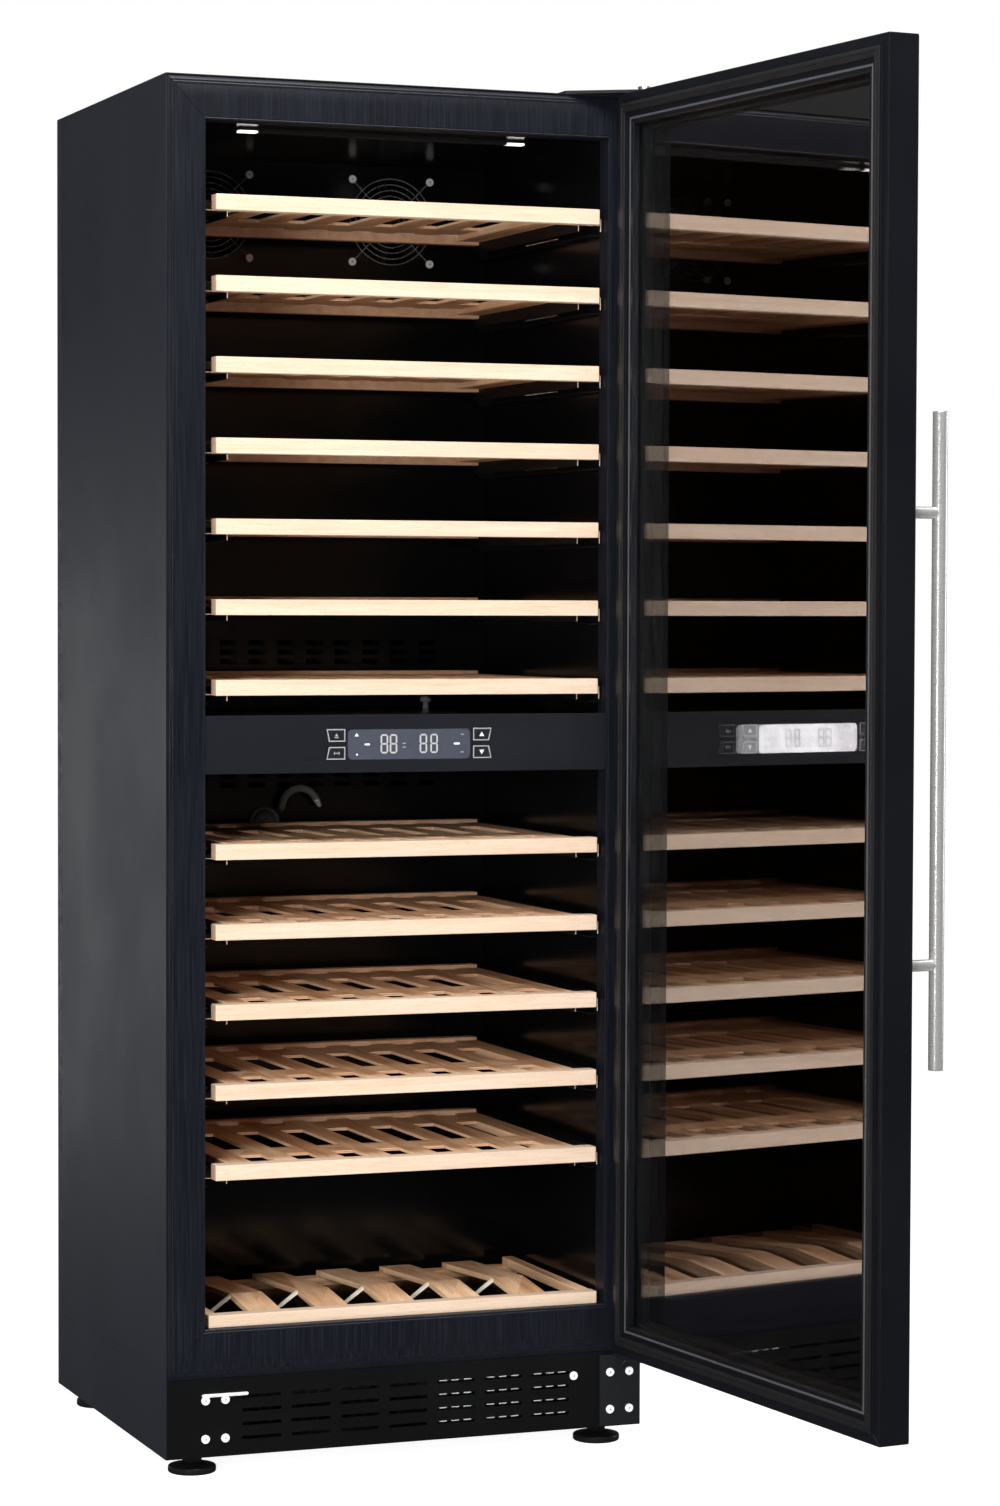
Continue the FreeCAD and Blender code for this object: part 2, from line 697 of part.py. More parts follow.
def fan_rotor(x, y, z):
    """The turning part of a fan: hub, shaft and pitched blades."""
    hub = rod_y(x, y + 3, z, FAN_HUB_R, 14)
    shaft = rod_y(x, y + 15, z, FAN_SHAFT_R, 7)
    blades = []
    half_t = FAN_BLADE_T / 2
    half_w = FAN_BLADE_W / 2
    for i in range(FAN_BLADES):
        blade = block(FAN_HUB_R - 3, FAN_BLADE_R, -half_t, half_t, -half_w, half_w)
        blade.rotate(vec(0, 0, 0), vec(1, 0, 0), FAN_BLADE_PITCH)
        blade.rotate(vec(0, 0, 0), vec(0, 1, 0), i * 360.0 / FAN_BLADES)
        blades.append(moved(blade, x, y + 10, z))
    return fused([hub, shaft] + blades)


def fan_guard(x, z):
    """A wire guard: rings on four legs that end in screw eyes."""
    leg_y = DUCT_Y - GUARD_WIRE_R
    ring_y = leg_y - GUARD_RING_STEP
    wires = []
    for radius in GUARD_RINGS:
        wires.append(Part.makeTorus(radius, GUARD_WIRE_R, vec(x, ring_y, z), vec(0, 1, 0)))
    leg_end = FAN_SCREW * math.sqrt(2) - 2.5
    for i in range(4):
        angle = math.radians(45 + 90 * i)
        direction = vec(math.cos(angle), 0, math.sin(angle))
        start = vec(x, leg_y, z) + direction * GUARD_RINGS[0]
        wires.append(Part.makeCylinder(GUARD_WIRE_R, leg_end - GUARD_RINGS[0], start, direction))
    for sx, sz in fan_corners(x, z):
        eye = rod_y(sx, leg_y - GUARD_WIRE_R, sz, GUARD_EYE_R, 2 * GUARD_WIRE_R)
        wires.append(eye.cut(rod_y(sx, leg_y - 2, sz, SCREW_R + SCREW_FIT, 4)))
    return wires[0].multiFuse(wires[1:])


def interior_lamps():
    """An LED strip on each zone's ceiling."""
    strips = []
    for ceiling in (CEILING_Z, LOWER_CEILING_Z):
        strips.append(block(-LAMP_HALF_W, LAMP_HALF_W, *LAMP_Y, ceiling - LAMP_H, ceiling))
    return group(strips)


def finned_coil(x0, x1, y0, y1, z0, z1, fins, tube_rows):
    """Upright fins threaded on straight refrigerant tubes."""
    pitch = (x1 - x0) / (fins - 1)
    half_t = FIN_T / 2
    pieces = [block(x0 + i * pitch - half_t, x0 + i * pitch + half_t, y0, y1, z0, z1) for i in range(fins)]
    tube_pitch = (z1 - z0) / tube_rows
    for row in range(tube_rows):
        z = z0 + (row + 0.5) * tube_pitch
        for y in (y0 + (y1 - y0) * 0.27, y0 + (y1 - y0) * 0.73):
            pieces.append(rod_x(x0 - TUBE_OVERHANG, y, z, TUBE_R, x1 - x0 + 2 * TUBE_OVERHANG))
    return fused(pieces)


def evaporators():
    """The two finned evaporators behind the duct covers, one in each zone."""
    w = EVAPORATOR_HALF_W
    upper = finned_coil(-w, w, *EVAPORATOR_Y, *UPPER_EVAPORATOR_Z, EVAPORATOR_FINS, 4)
    lower = finned_coil(-w, w, *EVAPORATOR_Y, *LOWER_EVAPORATOR_Z, EVAPORATOR_FINS, 3)
    return group([upper, lower])


def condenser_coil():
    w = CONDENSER_HALF_W
    return finned_coil(-w, w, *CONDENSER_Y, *CONDENSER_Z, CONDENSER_FINS, 3)


def compressor():
    """The hermetic compressor: a domed pot on a foot plate, with its stubs and terminal box."""
    x, y, z = COMPRESSOR_X, COMPRESSOR_Y, COMPRESSOR_Z
    r = COMPRESSOR_R
    pot = rod_z(x, y, z, r, COMPRESSOR_H)
    rims = [e for e in pot.Edges if e.Curve.TypeId == "Part::GeomCircle"]
    pot = pot.makeFillet(COMPRESSOR_DOME_R, rims)
    seam = rod_z(x, y, z + COMPRESSOR_H / 2 - 5, r + 2.5, 5)
    plate_w, plate_d, plate_t = COMPRESSOR_PLATE
    plate_z = z - 6
    plate = block(x - plate_w / 2, x + plate_w / 2, y - plate_d / 2, y + plate_d / 2,
                  plate_z, plate_z + plate_t)
    cradle = rod_z(x, y, plate_z + 2, r - COMPRESSOR_DOME_R, 8)
    grommet_x = plate_w / 2 - 12
    grommet_y = plate_d / 2 - 12
    grommets = [rod_z(x + sx * grommet_x, y + sy * grommet_y, BASE_T, GROMMET_R, plate_z + 2 - BASE_T)
                for sx in (-1, 1) for sy in (-1, 1)]
    box = block(x - r - 22, x - r + 12, y - 24, y + 24, z + 36, z + 94)
    stubs = [rod_z(x + dx, y + dy, z + COMPRESSOR_H - 24, TUBE_R, 50) for dx, dy in ((30, 10), (-24, 22))]
    return fused([pot, seam, plate, cradle, box] + grommets + stubs)


# ---------------------------------------------------------------- hinges, screws and mains inlet

def plate_screws():
    """The (x, z) places of the four hinge screws and of the four in the spare hinge place."""
    return [(x, z) for x in SPARE_SCREW_X + BRACKET_SCREW_X for z in PLATE_SCREW_Z]


def arm_gusset(x0, arm_z):
    """A small triangular web between the plate and the arm."""
    points = [vec(x0, -PLATE_T, arm_z), vec(x0, -26, arm_z), vec(x0, -PLATE_T, arm_z - 16)]
    face = Part.Face(Part.makePolygon(points + points[:1]))
    return face.extrude(vec(3, 0, 0))


def hinge_bracket_bottom():
    """The plate on the kick plate's corner, with the arm and pin that carry the door."""
    arm_top = PLATE_Z[1]
    arm_z = arm_top - ARM_T
    arm_x0 = HINGE_X - ARM_HALF_W
    plate = block(*PLATE_X, -PLATE_T, 0, *PLATE_Z)
    arm = block(arm_x0, HINGE_X + ARM_HALF_W, HINGE_Y, -PLATE_T / 2, arm_z, arm_top)
    nose = rod_z(HINGE_X, HINGE_Y, arm_z, ARM_HALF_W, ARM_T)
    gusset = arm_gusset(arm_x0, arm_z)
    collar = rod_z(HINGE_X, HINGE_Y, arm_top, COLLAR_R, DOOR_BOTTOM - 0.5 - arm_top)
    pin = rod_z(HINGE_X, HINGE_Y, arm_top, HINGE_PIN_R, BOTTOM_PIN_H)
    bracket = fused([plate, arm, nose, gusset, collar, pin])
    holes = [rod_y(x, -PLATE_T - 1, z, SCREW_R + SCREW_FIT, PLATE_T + 2)
             for x in BRACKET_SCREW_X for z in PLATE_SCREW_Z]
    return cut(bracket, holes)


def hinge_bracket_top():
    """The plate on the cabinet's top that runs forward over the door and holds its upper pin."""
    z0 = BODY_H
    strap_x0, strap_x1, strap_y0, strap_y1 = TOP_STRAP
    strap = block(*TOP_STRAP, z0, z0 + TOP_BRACKET_T)
    nose = rod_z(HINGE_X, HINGE_Y, z0, ARM_HALF_W, TOP_BRACKET_T)
    dx = HINGE_X - strap_x0
    dy = HINGE_Y - strap_y0
    reach = math.hypot(dx, dy)
    edge = math.sqrt(reach ** 2 - ARM_HALF_W ** 2)
    angle = math.atan2(dy, dx) - math.asin(ARM_HALF_W / reach)
    points = [vec(strap_x0, strap_y0, z0),
              vec(strap_x0 + edge * math.cos(angle), strap_y0 + edge * math.sin(angle), z0),
              vec(HINGE_X, HINGE_Y, z0), vec(HINGE_X + ARM_HALF_W, HINGE_Y, z0),
              vec(HINGE_X + ARM_HALF_W, strap_y0 + 2, z0), vec(strap_x0, strap_y0 + 2, z0)]
    apron = Part.Face(Part.makePolygon(points + points[:1])).extrude(vec(0, 0, TOP_BRACKET_T))
    head = rod_z(HINGE_X, HINGE_Y, z0 + TOP_BRACKET_T, TOP_PIN_HEAD_R, TOP_PIN_HEAD_H)
    pin = rod_z(HINGE_X, HINGE_Y, z0 - TOP_PIN_DROP, HINGE_PIN_R, TOP_PIN_DROP)
    bracket = fused([strap, apron, nose, head, pin])
    holes = [rod_z(x, TOP_SCREW_Y, z0 - 1, SCREW_R + SCREW_FIT, TOP_BRACKET_T + 2) for x in TOP_SCREW_X]
    return cut(bracket, holes)


def screw_y(x, face_y, z):
    """A pan-head screw driven into a front face at face_y."""
    head = rod_y(x, face_y - SCREW_HEAD_H, z, SCREW_HEAD_R, SCREW_HEAD_H)
    rim = [e for e in head.Edges if e.Vertexes[0].Y < face_y - SCREW_HEAD_H / 2 and e.Closed]
    head = head.makeFillet(SCREW_HEAD_ROUND, rim)
    return fused([head, rod_y(x, face_y, z, SCREW_R, SCREW_LEN)])


def screw_z(x, y, face_z):
    """A pan-head screw driven down into a face at face_z."""
    head = rod_z(x, y, face_z, SCREW_HEAD_R, SCREW_HEAD_H)
    rim = [e for e in head.Edges if e.Vertexes[0].Z > face_z + SCREW_HEAD_H / 2 and e.Closed]
    head = head.makeFillet(SCREW_HEAD_ROUND, rim)
    return fused([head, rod_z(x, y, face_z - SCREW_LEN, SCREW_R, SCREW_LEN)])


def case_screws():
    """All the pan-head screws that show: hinges, spare hinge place, kick plate and fan guards."""
    screws = [screw_y(x, -PLATE_T, z) for x in BRACKET_SCREW_X for z in PLATE_SCREW_Z]
    screws += [screw_y(x, 0, z) for x in SPARE_SCREW_X for z in PLATE_SCREW_Z]
    screws.append(screw_y(KICK_SCREW[0], 0, KICK_SCREW[1]))
    screws += [screw_z(x, TOP_SCREW_Y, BODY_H + TOP_BRACKET_T) for x in TOP_SCREW_X]
    guard_face = DUCT_Y - 2 * GUARD_WIRE_R
    for x in (-FAN_UPPER_X, FAN_UPPER_X):
        screws += [screw_y(sx, guard_face, sz) for sx, sz in fan_corners(x, FAN_UPPER_Z)]
    return group(screws)


def inlet_opening():
    return block(INLET_X - INLET_W / 2, INLET_X + INLET_W / 2, BACK_Y - 1, BODY_D + 1,
                 INLET_Z - INLET_H / 2, INLET_Z + INLET_H / 2)


def power_inlet():
    """The mains socket on the back: a shell with three blades."""
    half_w = INLET_W / 2 - 0.2
    half_h = INLET_H / 2 - 0.2
    body = block(INLET_X - half_w, INLET_X + half_w, BODY_D - INLET_DEPTH, BODY_D + 0.1,
                 INLET_Z - half_h, INLET_Z + half_h)
    flange = rounded_bar_y(INLET_X, INLET_Z, INLET_W + 8, INLET_H + 8, 4, BODY_D, INLET_FLANGE_T)
    recess = block(INLET_X - half_w + 4, INLET_X + half_w - 4, BODY_D - INLET_RECESS, BODY_D + 4,
                   INLET_Z - half_h + 4, INLET_Z + half_h - 4)
    shell = fused([body, flange]).cut(recess)
    blades = [block(INLET_X + dx - 1, INLET_X + dx + 1, BODY_D - INLET_RECESS - 1, BODY_D - 3,
                    INLET_Z - 2.5, INLET_Z + 2.5) for dx in (-10, 0, 10)]
    return fused([shell] + blades)


# ---------------------------------------------------------------- door

def door_outer():
    return (-DOOR_HALF_W, DOOR_HALF_W, DOOR_BOTTOM, DOOR_TOP)


def opened(shape):
    """A door piece turned about the hinge from closed to its stored angle."""
    copy = shape.copy()
    copy.rotate(vec(HINGE_X, HINGE_Y, 0), vec(0, 0, 1), DOOR_REST_ANGLE)
    return copy


def door_frame_members():
    """Four mitred hollow profiles with a pocket for the glass; pin holes top and bottom."""
    outer = door_outer()
    full = inset_ring(outer, 0, DOOR_STILE, DOOR_FRONT, DOOR_T)
    chamber = inset_ring(outer, DOOR_WALL, DOOR_CHAMBER_W - DOOR_WALL,
                         DOOR_FRONT + DOOR_WALL, DOOR_T - 2 * DOOR_WALL)
    pocket = inset_ring(outer, POCKET_START, DOOR_STILE - POCKET_START + 1,
                        OUTER_PANE_Y, INNER_PANE_Y + PANE_T - OUTER_PANE_Y)
    pin_hole = HINGE_PIN_R + HINGE_FIT
    holes = {
        "bottom": rod_z(HINGE_X, HINGE_Y, DOOR_BOTTOM - 1, pin_hole, 22),
        "top": rod_z(HINGE_X, HINGE_Y, DOOR_TOP - 21, pin_hole, 22),
    }
    members = {}
    for name, member in full.items():
        tools = [chamber[name], pocket[name]] + list(holes.values())
        members[name] = cut(member, tools)
    return members


def pane(y0):
    x0, x1, z0, z1 = door_outer()
    i = PANE_INSET
    return block(x0 + i, x1 - i, y0, y0 + PANE_T, z0 + i, z1 - i)


def glass_spacer():
    """The aluminium spacer bars between the two panes."""
    y0 = OUTER_PANE_Y + PANE_T
    bars = inset_ring(door_outer(), SPACER_INSET, SPACER_W, y0, INNER_PANE_Y - y0)
    return group(list(bars.values()))


def door_gasket():
    """The magnetic seal: four strips welded at the corners, just clear of the front frame."""
    strips = inset_ring(door_outer(), GASKET_INSET, GASKET_W, DOOR_BACK, -GASKET_GAP - DOOR_BACK)
    return group(list(strips.values()))


def handle_bar():
    """A straight round bar with eased ends."""
    bar = rod_z(HANDLE_X, DOOR_FRONT - HANDLE_REACH, HANDLE_BOTTOM, HANDLE_R, HANDLE_TOP - HANDLE_BOTTOM)
    rims = [e for e in bar.Edges if e.Curve.TypeId == "Part::GeomCircle"]
    return bar.makeFillet(1.2, rims)


def handle_standoffs():
    """Two posts from the door to the bar, each with a foot flange and a saddled end."""
    bar = rod_z(HANDLE_X, DOOR_FRONT - HANDLE_REACH, HANDLE_BOTTOM, HANDLE_R, HANDLE_TOP - HANDLE_BOTTOM)
    posts = []
    for z in STANDOFF_Z:
        post = rod_y(HANDLE_X, DOOR_FRONT - HANDLE_REACH, z, STANDOFF_R, HANDLE_REACH)
        flange = rod_y(HANDLE_X, DOOR_FRONT - 3, z, STANDOFF_FLANGE_R, 3)
        posts.append(fused([post, flange]).cut(bar))
    return group(posts)


# ---------------------------------------------------------------- feet

def foot_places():
    """Foot name to its (x, y) place."""
    rows = {"front": FOOT_FRONT_Y, "rear": FOOT_REAR_Y}
    sides = {"left": -FOOT_X, "right": FOOT_X}
    return {"foot_%s_%s" % (row, side): (x, y) for row, y in rows.items() for side, x in sides.items()}


def levelling_foot(x, y):
    """A round pad with a cone, a hexagon to turn it by and a stem in the base's boss."""
    pad = rod_z(x, y, -FOOT_H, FOOT_R, FOOT_PAD_H)
    rims = [e for e in pad.Edges if e.Curve.TypeId == "Part::GeomCircle"]
    pad = pad.makeFillet(2.5, rims)
    cone_z = FOOT_PAD_H - FOOT_H
    cone = Part.makeCone(FOOT_R - 6, FOOT_NUT_R + 1, FOOT_CONE_H, vec(x, y, cone_z), vec(0, 0, 1))
    nut_z = cone_z + FOOT_CONE_H
    corners = []
    for i in range(7):
        angle = i * math.pi / 3
        corners.append(vec(x + FOOT_NUT_R * math.cos(angle), y + FOOT_NUT_R * math.sin(angle), nut_z))
    nut = Part.Face(Part.makePolygon(corners)).extrude(vec(0, 0, FOOT_NUT_H))
    stem = rod_z(x, y, nut_z, STEM_R, BOSS_H - 4 - nut_z)
    return fused([pad, cone, nut, stem])


def main():
    os.makedirs("parts", exist_ok=True)
    save("side_panel_right", side_panel())
    save("side_panel_left", mirrored(side_panel()))
    save("top_panel", top_panel())
    save("rear_panel", rear_panel())
    save("base_plate", base_plate())
    save("kick_plate", kick_plate())
    save("front_frame", front_frame())
    save("liner_upper", liner_upper())
    save("liner_lower", liner_lower())
    save("insulation_foam", insulation_foam())
    save("duct_cover_upper", duct_cover_upper())
    save("duct_cover_lower", duct_cover_lower())
    save("control_fascia", control_fascia())
    save("display_window", display_window())
    save("rack_runners", rack_runners())
    save("display_rack", display_rack())
    save("fan_frames", group([fan_frame(*place) for place in fan_places().values()]))
    save("fan_guards", group([fan_guard(x, FAN_UPPER_Z) for x in (-FAN_UPPER_X, FAN_UPPER_X)]))
    save("interior_lamps", interior_lamps())
    save("evaporators", evaporators())
    save("condenser_coil", condenser_coil())
    save("compressor", compressor())
    save("hinge_bracket_bottom", hinge_bracket_bottom())
    save("hinge_bracket_top", hinge_bracket_top())
    save("case_screws", case_screws())
    save("power_inlet", power_inlet())
    for name, (x, z) in key_centres().items():
        save(name, key_cap(x, z))
    for name, top in rack_tops().items():
        save(name, rack(top))
    for name, place in fan_places().items():
        save(name, fan_rotor(*place))
    for name, (x, y) in foot_places().items():
        save(name, levelling_foot(x, y))
    for side, member in door_frame_members().items():
        save("door_frame_%s" % side, opened(member))
    save("outer_glass", opened(pane(OUTER_PANE_Y)))
    save("inner_glass", opened(pane(INNER_PANE_Y)))
    save("glass_spacer", opened(glass_spacer()))
    save("door_gasket", opened(door_gasket()))
    save("handle_bar", opened(handle_bar()))
    save("handle_standoffs", opened(handle_standoffs()))


main()
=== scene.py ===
import json
import math

import bmesh
import bpy
import numpy as np
from mathutils import Matrix, Vector


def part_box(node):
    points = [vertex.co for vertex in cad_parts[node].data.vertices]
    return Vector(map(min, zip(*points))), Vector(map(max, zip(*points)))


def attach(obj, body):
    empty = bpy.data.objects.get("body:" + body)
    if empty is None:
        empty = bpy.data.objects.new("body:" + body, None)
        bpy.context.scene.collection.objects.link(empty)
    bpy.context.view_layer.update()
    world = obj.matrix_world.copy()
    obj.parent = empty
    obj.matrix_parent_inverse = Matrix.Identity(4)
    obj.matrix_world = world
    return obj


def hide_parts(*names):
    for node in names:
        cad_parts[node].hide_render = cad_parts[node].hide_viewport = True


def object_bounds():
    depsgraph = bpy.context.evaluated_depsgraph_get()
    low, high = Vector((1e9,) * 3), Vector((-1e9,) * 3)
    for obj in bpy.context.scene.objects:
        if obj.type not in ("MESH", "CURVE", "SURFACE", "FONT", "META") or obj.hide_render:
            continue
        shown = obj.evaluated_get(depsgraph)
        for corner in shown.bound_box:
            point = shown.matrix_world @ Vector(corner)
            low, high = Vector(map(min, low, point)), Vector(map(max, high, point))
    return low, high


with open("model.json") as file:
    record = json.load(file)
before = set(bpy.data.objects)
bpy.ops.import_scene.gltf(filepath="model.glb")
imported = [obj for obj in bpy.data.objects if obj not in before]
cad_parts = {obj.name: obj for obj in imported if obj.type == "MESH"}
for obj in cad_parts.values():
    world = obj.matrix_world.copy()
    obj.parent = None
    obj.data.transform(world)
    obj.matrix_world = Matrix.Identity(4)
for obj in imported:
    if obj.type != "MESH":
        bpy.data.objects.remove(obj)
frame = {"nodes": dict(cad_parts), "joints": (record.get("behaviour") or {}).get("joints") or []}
cad_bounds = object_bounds()

# Looks of the two-zone wine cooler. Metres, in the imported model's frame: +X hinge side, -Y user, +Z up.
# Sizes are given in millimetres and multiplied by MM; most places come from the boxes of the CAD nodes.
MM = 0.001
SHARP_ANGLE = math.radians(32)
RACKS = ["rack_%02d" % (i + 1) for i in range(12)]
KEYS = ["key_left_top", "key_left_bottom", "key_right_top", "key_right_bottom"]
ROTORS = ["fan_rotor_upper_left", "fan_rotor_upper_right", "fan_rotor_lower", "fan_rotor_condenser"]
FEET = ["foot_front_left", "foot_front_right", "foot_rear_left", "foot_rear_right"]
DOOR_MEMBERS = ["door_frame_left", "door_frame_right", "door_frame_bottom", "door_frame_top"]

# ---- camera ----
CAMERA_PLACE = Vector((-1.729, -5.072, 1.093))
CAMERA_YAW = math.radians(21.10)
CAMERA_PITCH = math.radians(2.19)
CAMERA_ROLL = math.radians(0.19)
CAMERA_LENS = 94.43
CAMERA_SENSOR = 36.0

FLOOR_REACH = 14.0

# ---- side panels, with their two pressed lines ----
PRESSED_LINE_RISE = 9 * MM
PRESSED_LINE_HALF_W = 0.8 * MM
PRESSED_LINE_DEPTH = 0.8 * MM

# ---- front frame; shares of the member's width are counted from its outer edge ----
MITRE_GAP = 0.3 * MM
CROWN_SAG = 2.6 * MM
CROWN_END = 0.5
CROWN_STEPS = 24
BEAD_MIDDLES = (0.10, 0.17)
BEAD_REACH = 0.022
BEAD_H = 0.45 * MM
FRAME_RETURN = 14 * MM
LIP_OVER_LINER_TOP = 6.5 * MM
LIP_OVER_LINER_FLOOR = 7.5 * MM
LINER_T = 1.5 * MM

# ---- screws, hinges and kick plate ----
LARGEST_HEAD = 12 * MM
CROSS_ARM = 1.7 * MM
CROSS_HALF_W = 0.35 * MM
CROSS_DEPTH = 0.3 * MM
CROSS_PROUD = 0.02 * MM
STRAP_TOP_RISE = 4.2 * MM
STRIP_SPAN = (-280 * MM, -218 * MM)
STRIP_RISE = 79.3 * MM
STRIP_HALF_H = 2.1 * MM
STRIP_T = 2.9 * MM
SLOT_COLUMN_PITCH = 66.5 * MM
SLOT_ROW_PITCH = 17.8 * MM
WIRE_LOWEST = 23 * MM
WIRE_L = 11 * MM
WIRE_PITCH = 17 * MM
WIRE_SETBACK = 1.6 * MM

# ---- racks ----
RAIL_DEPTH = 22 * MM
REAR_RAIL_DEPTH = 20 * MM
SLAT_PITCH = 63.5 * MM
GAP_HALF_W = 15.8 * MM
LAP_DROP = 2.5 * MM
SIDE_BOARD_X = 206.2 * MM
SIDE_BOARD_DROP = 11.6 * MM
CROSS_BOARDS = ((84 * MM, 141 * MM), (296 * MM, 368 * MM))
WOOD_HALF_W = 240 * MM
RACK_TOP_RISE = 4 * MM
PROP_SETBACK = 110 * MM
PROP_SPREAD = 1.21
PROP_T = 4 * MM
PROP_W = 8 * MM
CAGE_DROP = 25 * MM
CAGE_BALLS = 15
CAGE_PITCH = 8 * MM
CAGE_START = 158 * MM
CAGE_X = 265.2 * MM
CAGE_MARGIN = 4 * MM
CAGE_HALF_H = 2.4 * MM
CAGE_HALF_T = 0.4 * MM

# ---- LED strips ----
LAMP_EDGE = 3 * MM
LAMP_END = 26 * MM
LAMP_END_BLUR = 3 * MM
LAMP_GLOW = 1.6

# ---- control panel ----
DIGIT_H = 25 * MM
DIGIT_W = 10.4 * MM
DIGIT_STROKE = 2.2 * MM
DIGIT_X = (-34.3 * MM, -21.8 * MM, 19.3 * MM, 34.0 * MM)
PRINT_T = 0.12 * MM
KEY_LEAN = 3.4 * MM
KEY_LINE = 1.5 * MM
KEY_FACE_INSET = 1.5 * MM
KEY_LINE_INSET = 0.3 * MM
KEY_ARROW = 3.4 * MM
SEGMENT_GAP = 0.25 * MM
FAINT_MARKS = ((73 * MM, 12 * MM), (73 * MM, -11 * MM), (-7 * MM, 1 * MM), (-7 * MM, -4 * MM))

# ---- rear wall fittings; places are (x, z) ----
FITTING_GAP = 0.05 * MM
FILTER_PLACE = (-53 * MM, 785 * MM)
FILTER_STUDS = 12
FILTER_STUD_RING_R = 20.2 * MM
PROBE_PLACE = (-5 * MM, 806 * MM)
PROBE_R = 26 * MM
PROBE_TUBE_R = 5.2 * MM
PROBE_STANDOFF = 16 * MM
PROBE_STEPS = 18
PROBE_HOOK = 0.86
DRAIN_X = 182 * MM
DRAIN_SETBACK = 15 * MM

# ---- door rings, as insets from the door's outer edge ----
GASKET_INSET = (14 * MM, 26 * MM)
HOLE_PITCH = 7.5 * MM
HOLE_R = 0.7 * MM
SPACER_MIDDLE = 6 * MM
FRIT_INSET = (32 * MM, 49 * MM)
FRIT_T = 0.2 * MM
DOOR_BEAD_INSET = (33 * MM, 36 * MM)
BEAD_RISE = 1.2 * MM


# ---------------------------------------------------------------- finishes

class Finish:
    """A material's nodes, with short calls for those used here. Every pattern is fixed to the mesh."""

    def __init__(self, name, constants):
        self.material = bpy.data.materials.new(name)
        self.material.use_nodes = True
        self.nodes = self.material.node_tree.nodes
        self.join = self.material.node_tree.links.new
        self.surface = self.nodes["Principled BSDF"]
        coordinates = self.nodes.new("ShaderNodeTexCoord")
        self.place = coordinates.outputs["Object"]
        self.normal = coordinates.outputs["Normal"]
        for socket, value in constants.items():
            self.put(socket, value)

    def put(self, socket, value):
        self.feed(self.surface.inputs[socket], value)

    def feed(self, target, value):
        if isinstance(value, bpy.types.NodeSocket):
            self.join(value, target)
        elif isinstance(value, tuple) and len(target.default_value) == 4:
            target.default_value = value + (1.0,)
        else:
            target.default_value = value

    def maths(self, operation, first, second=0.0):
        node = self.nodes.new("ShaderNodeMath")
        node.operation = operation
        self.feed(node.inputs[0], first)
        self.feed(node.inputs[1], second)
        return node.outputs[0]

    def ramp(self, value, low, high, start=0.0, end=1.0):
        """value over low..high taken to start..end, and held beyond."""
        node = self.nodes.new("ShaderNodeMapRange")
        for socket, number in zip(node.inputs, (value, low, high, start, end)):
            self.feed(socket, number)
        return node.outputs["Result"]

    def above(self, value, limit):
        return self.maths("GREATER_THAN", value, limit)

    def below(self, value, limit):
        return self.maths("LESS_THAN", value, limit)

    def both(self, first, second):
        return self.maths("MULTIPLY", first, second)

    def either(self, first, second):
        return self.maths("MAXIMUM", first, second)

    def mix(self, share, first, second, kind="RGBA"):
        node = self.nodes.new("ShaderNodeMix")
        node.data_type = kind
        a, b, out = {"RGBA": (6, 7, 2), "VECTOR": (4, 5, 1)}[kind]
        self.feed(node.inputs[0], share)
        self.feed(node.inputs[a], first)
        self.feed(node.inputs[b], second)
        return node.outputs[out]

    def stretched(self, scale, place=None):
        node = self.nodes.new("ShaderNodeVectorMath")
        node.operation = "MULTIPLY"
        self.feed(node.inputs[0], place or self.place)
        self.feed(node.inputs[1], scale)
        return node.outputs[0]

    def noise(self, scale, detail, place=None):
        node = self.nodes.new("ShaderNodeTexNoise")
        self.feed(node.inputs["Vector"], place or self.place)
        self.feed(node.inputs["Scale"], scale)
        self.feed(node.inputs["Detail"], detail)
        return node.outputs["Fac"]

    def cells(self, scale):
        node = self.nodes.new("ShaderNodeTexVoronoi")
        self.feed(node.inputs["Vector"], self.place)
        self.feed(node.inputs["Scale"], scale)
        return node.outputs["Color"]

    def axis(self, index, place=None):
        node = self.nodes.new("ShaderNodeSeparateXYZ")
        self.feed(node.inputs[0], place or self.place)
        return node.outputs[index]

    def size(self, index, place=None):
        return self.maths("ABSOLUTE", self.axis(index, place))

    def band(self, value, middle, half):
        """1 within half of middle, with a soft edge."""
        away = self.maths("ABSOLUTE", self.maths("SUBTRACT", value, middle))
        return self.ramp(away, half * 0.6, half, 1.0, 0.0)

    def dashes(self, value, pitch, half):
        """1 on a stretch of twice half, once every pitch."""
        return self.below(self.maths("PINGPONG", value, pitch / 2), half)

    def bump(self, height, depth):
        node = self.nodes.new("ShaderNodeBump")
        self.feed(node.inputs["Height"], height)
        node.inputs["Distance"].default_value = depth
        earlier = self.surface.inputs["Normal"].links
        if earlier:
            self.join(earlier[0].from_socket, node.inputs["Normal"])
        self.put("Normal", node.outputs[0])


def tone(colour, factor):
    return tuple(c * factor for c in colour)


def coated(name, colour, roughness, peel=0.03 * MM, grain=650.0, spread=0.05):
    """Stoved paint or moulded plastic: slow changes of tone and gloss over a fine skin texture."""
    finish = Finish(name, {"IOR": 1.5})
    cloud = finish.noise(5.0, 3.0)
    finish.put("Base Color", finish.mix(cloud, tone(colour, 0.8), tone(colour, 1.2)))
    finish.put("Roughness", finish.ramp(cloud, 0.3, 0.7, roughness - spread, roughness + spread))
    finish.bump(finish.noise(grain, 1.0), peel)
    return finish


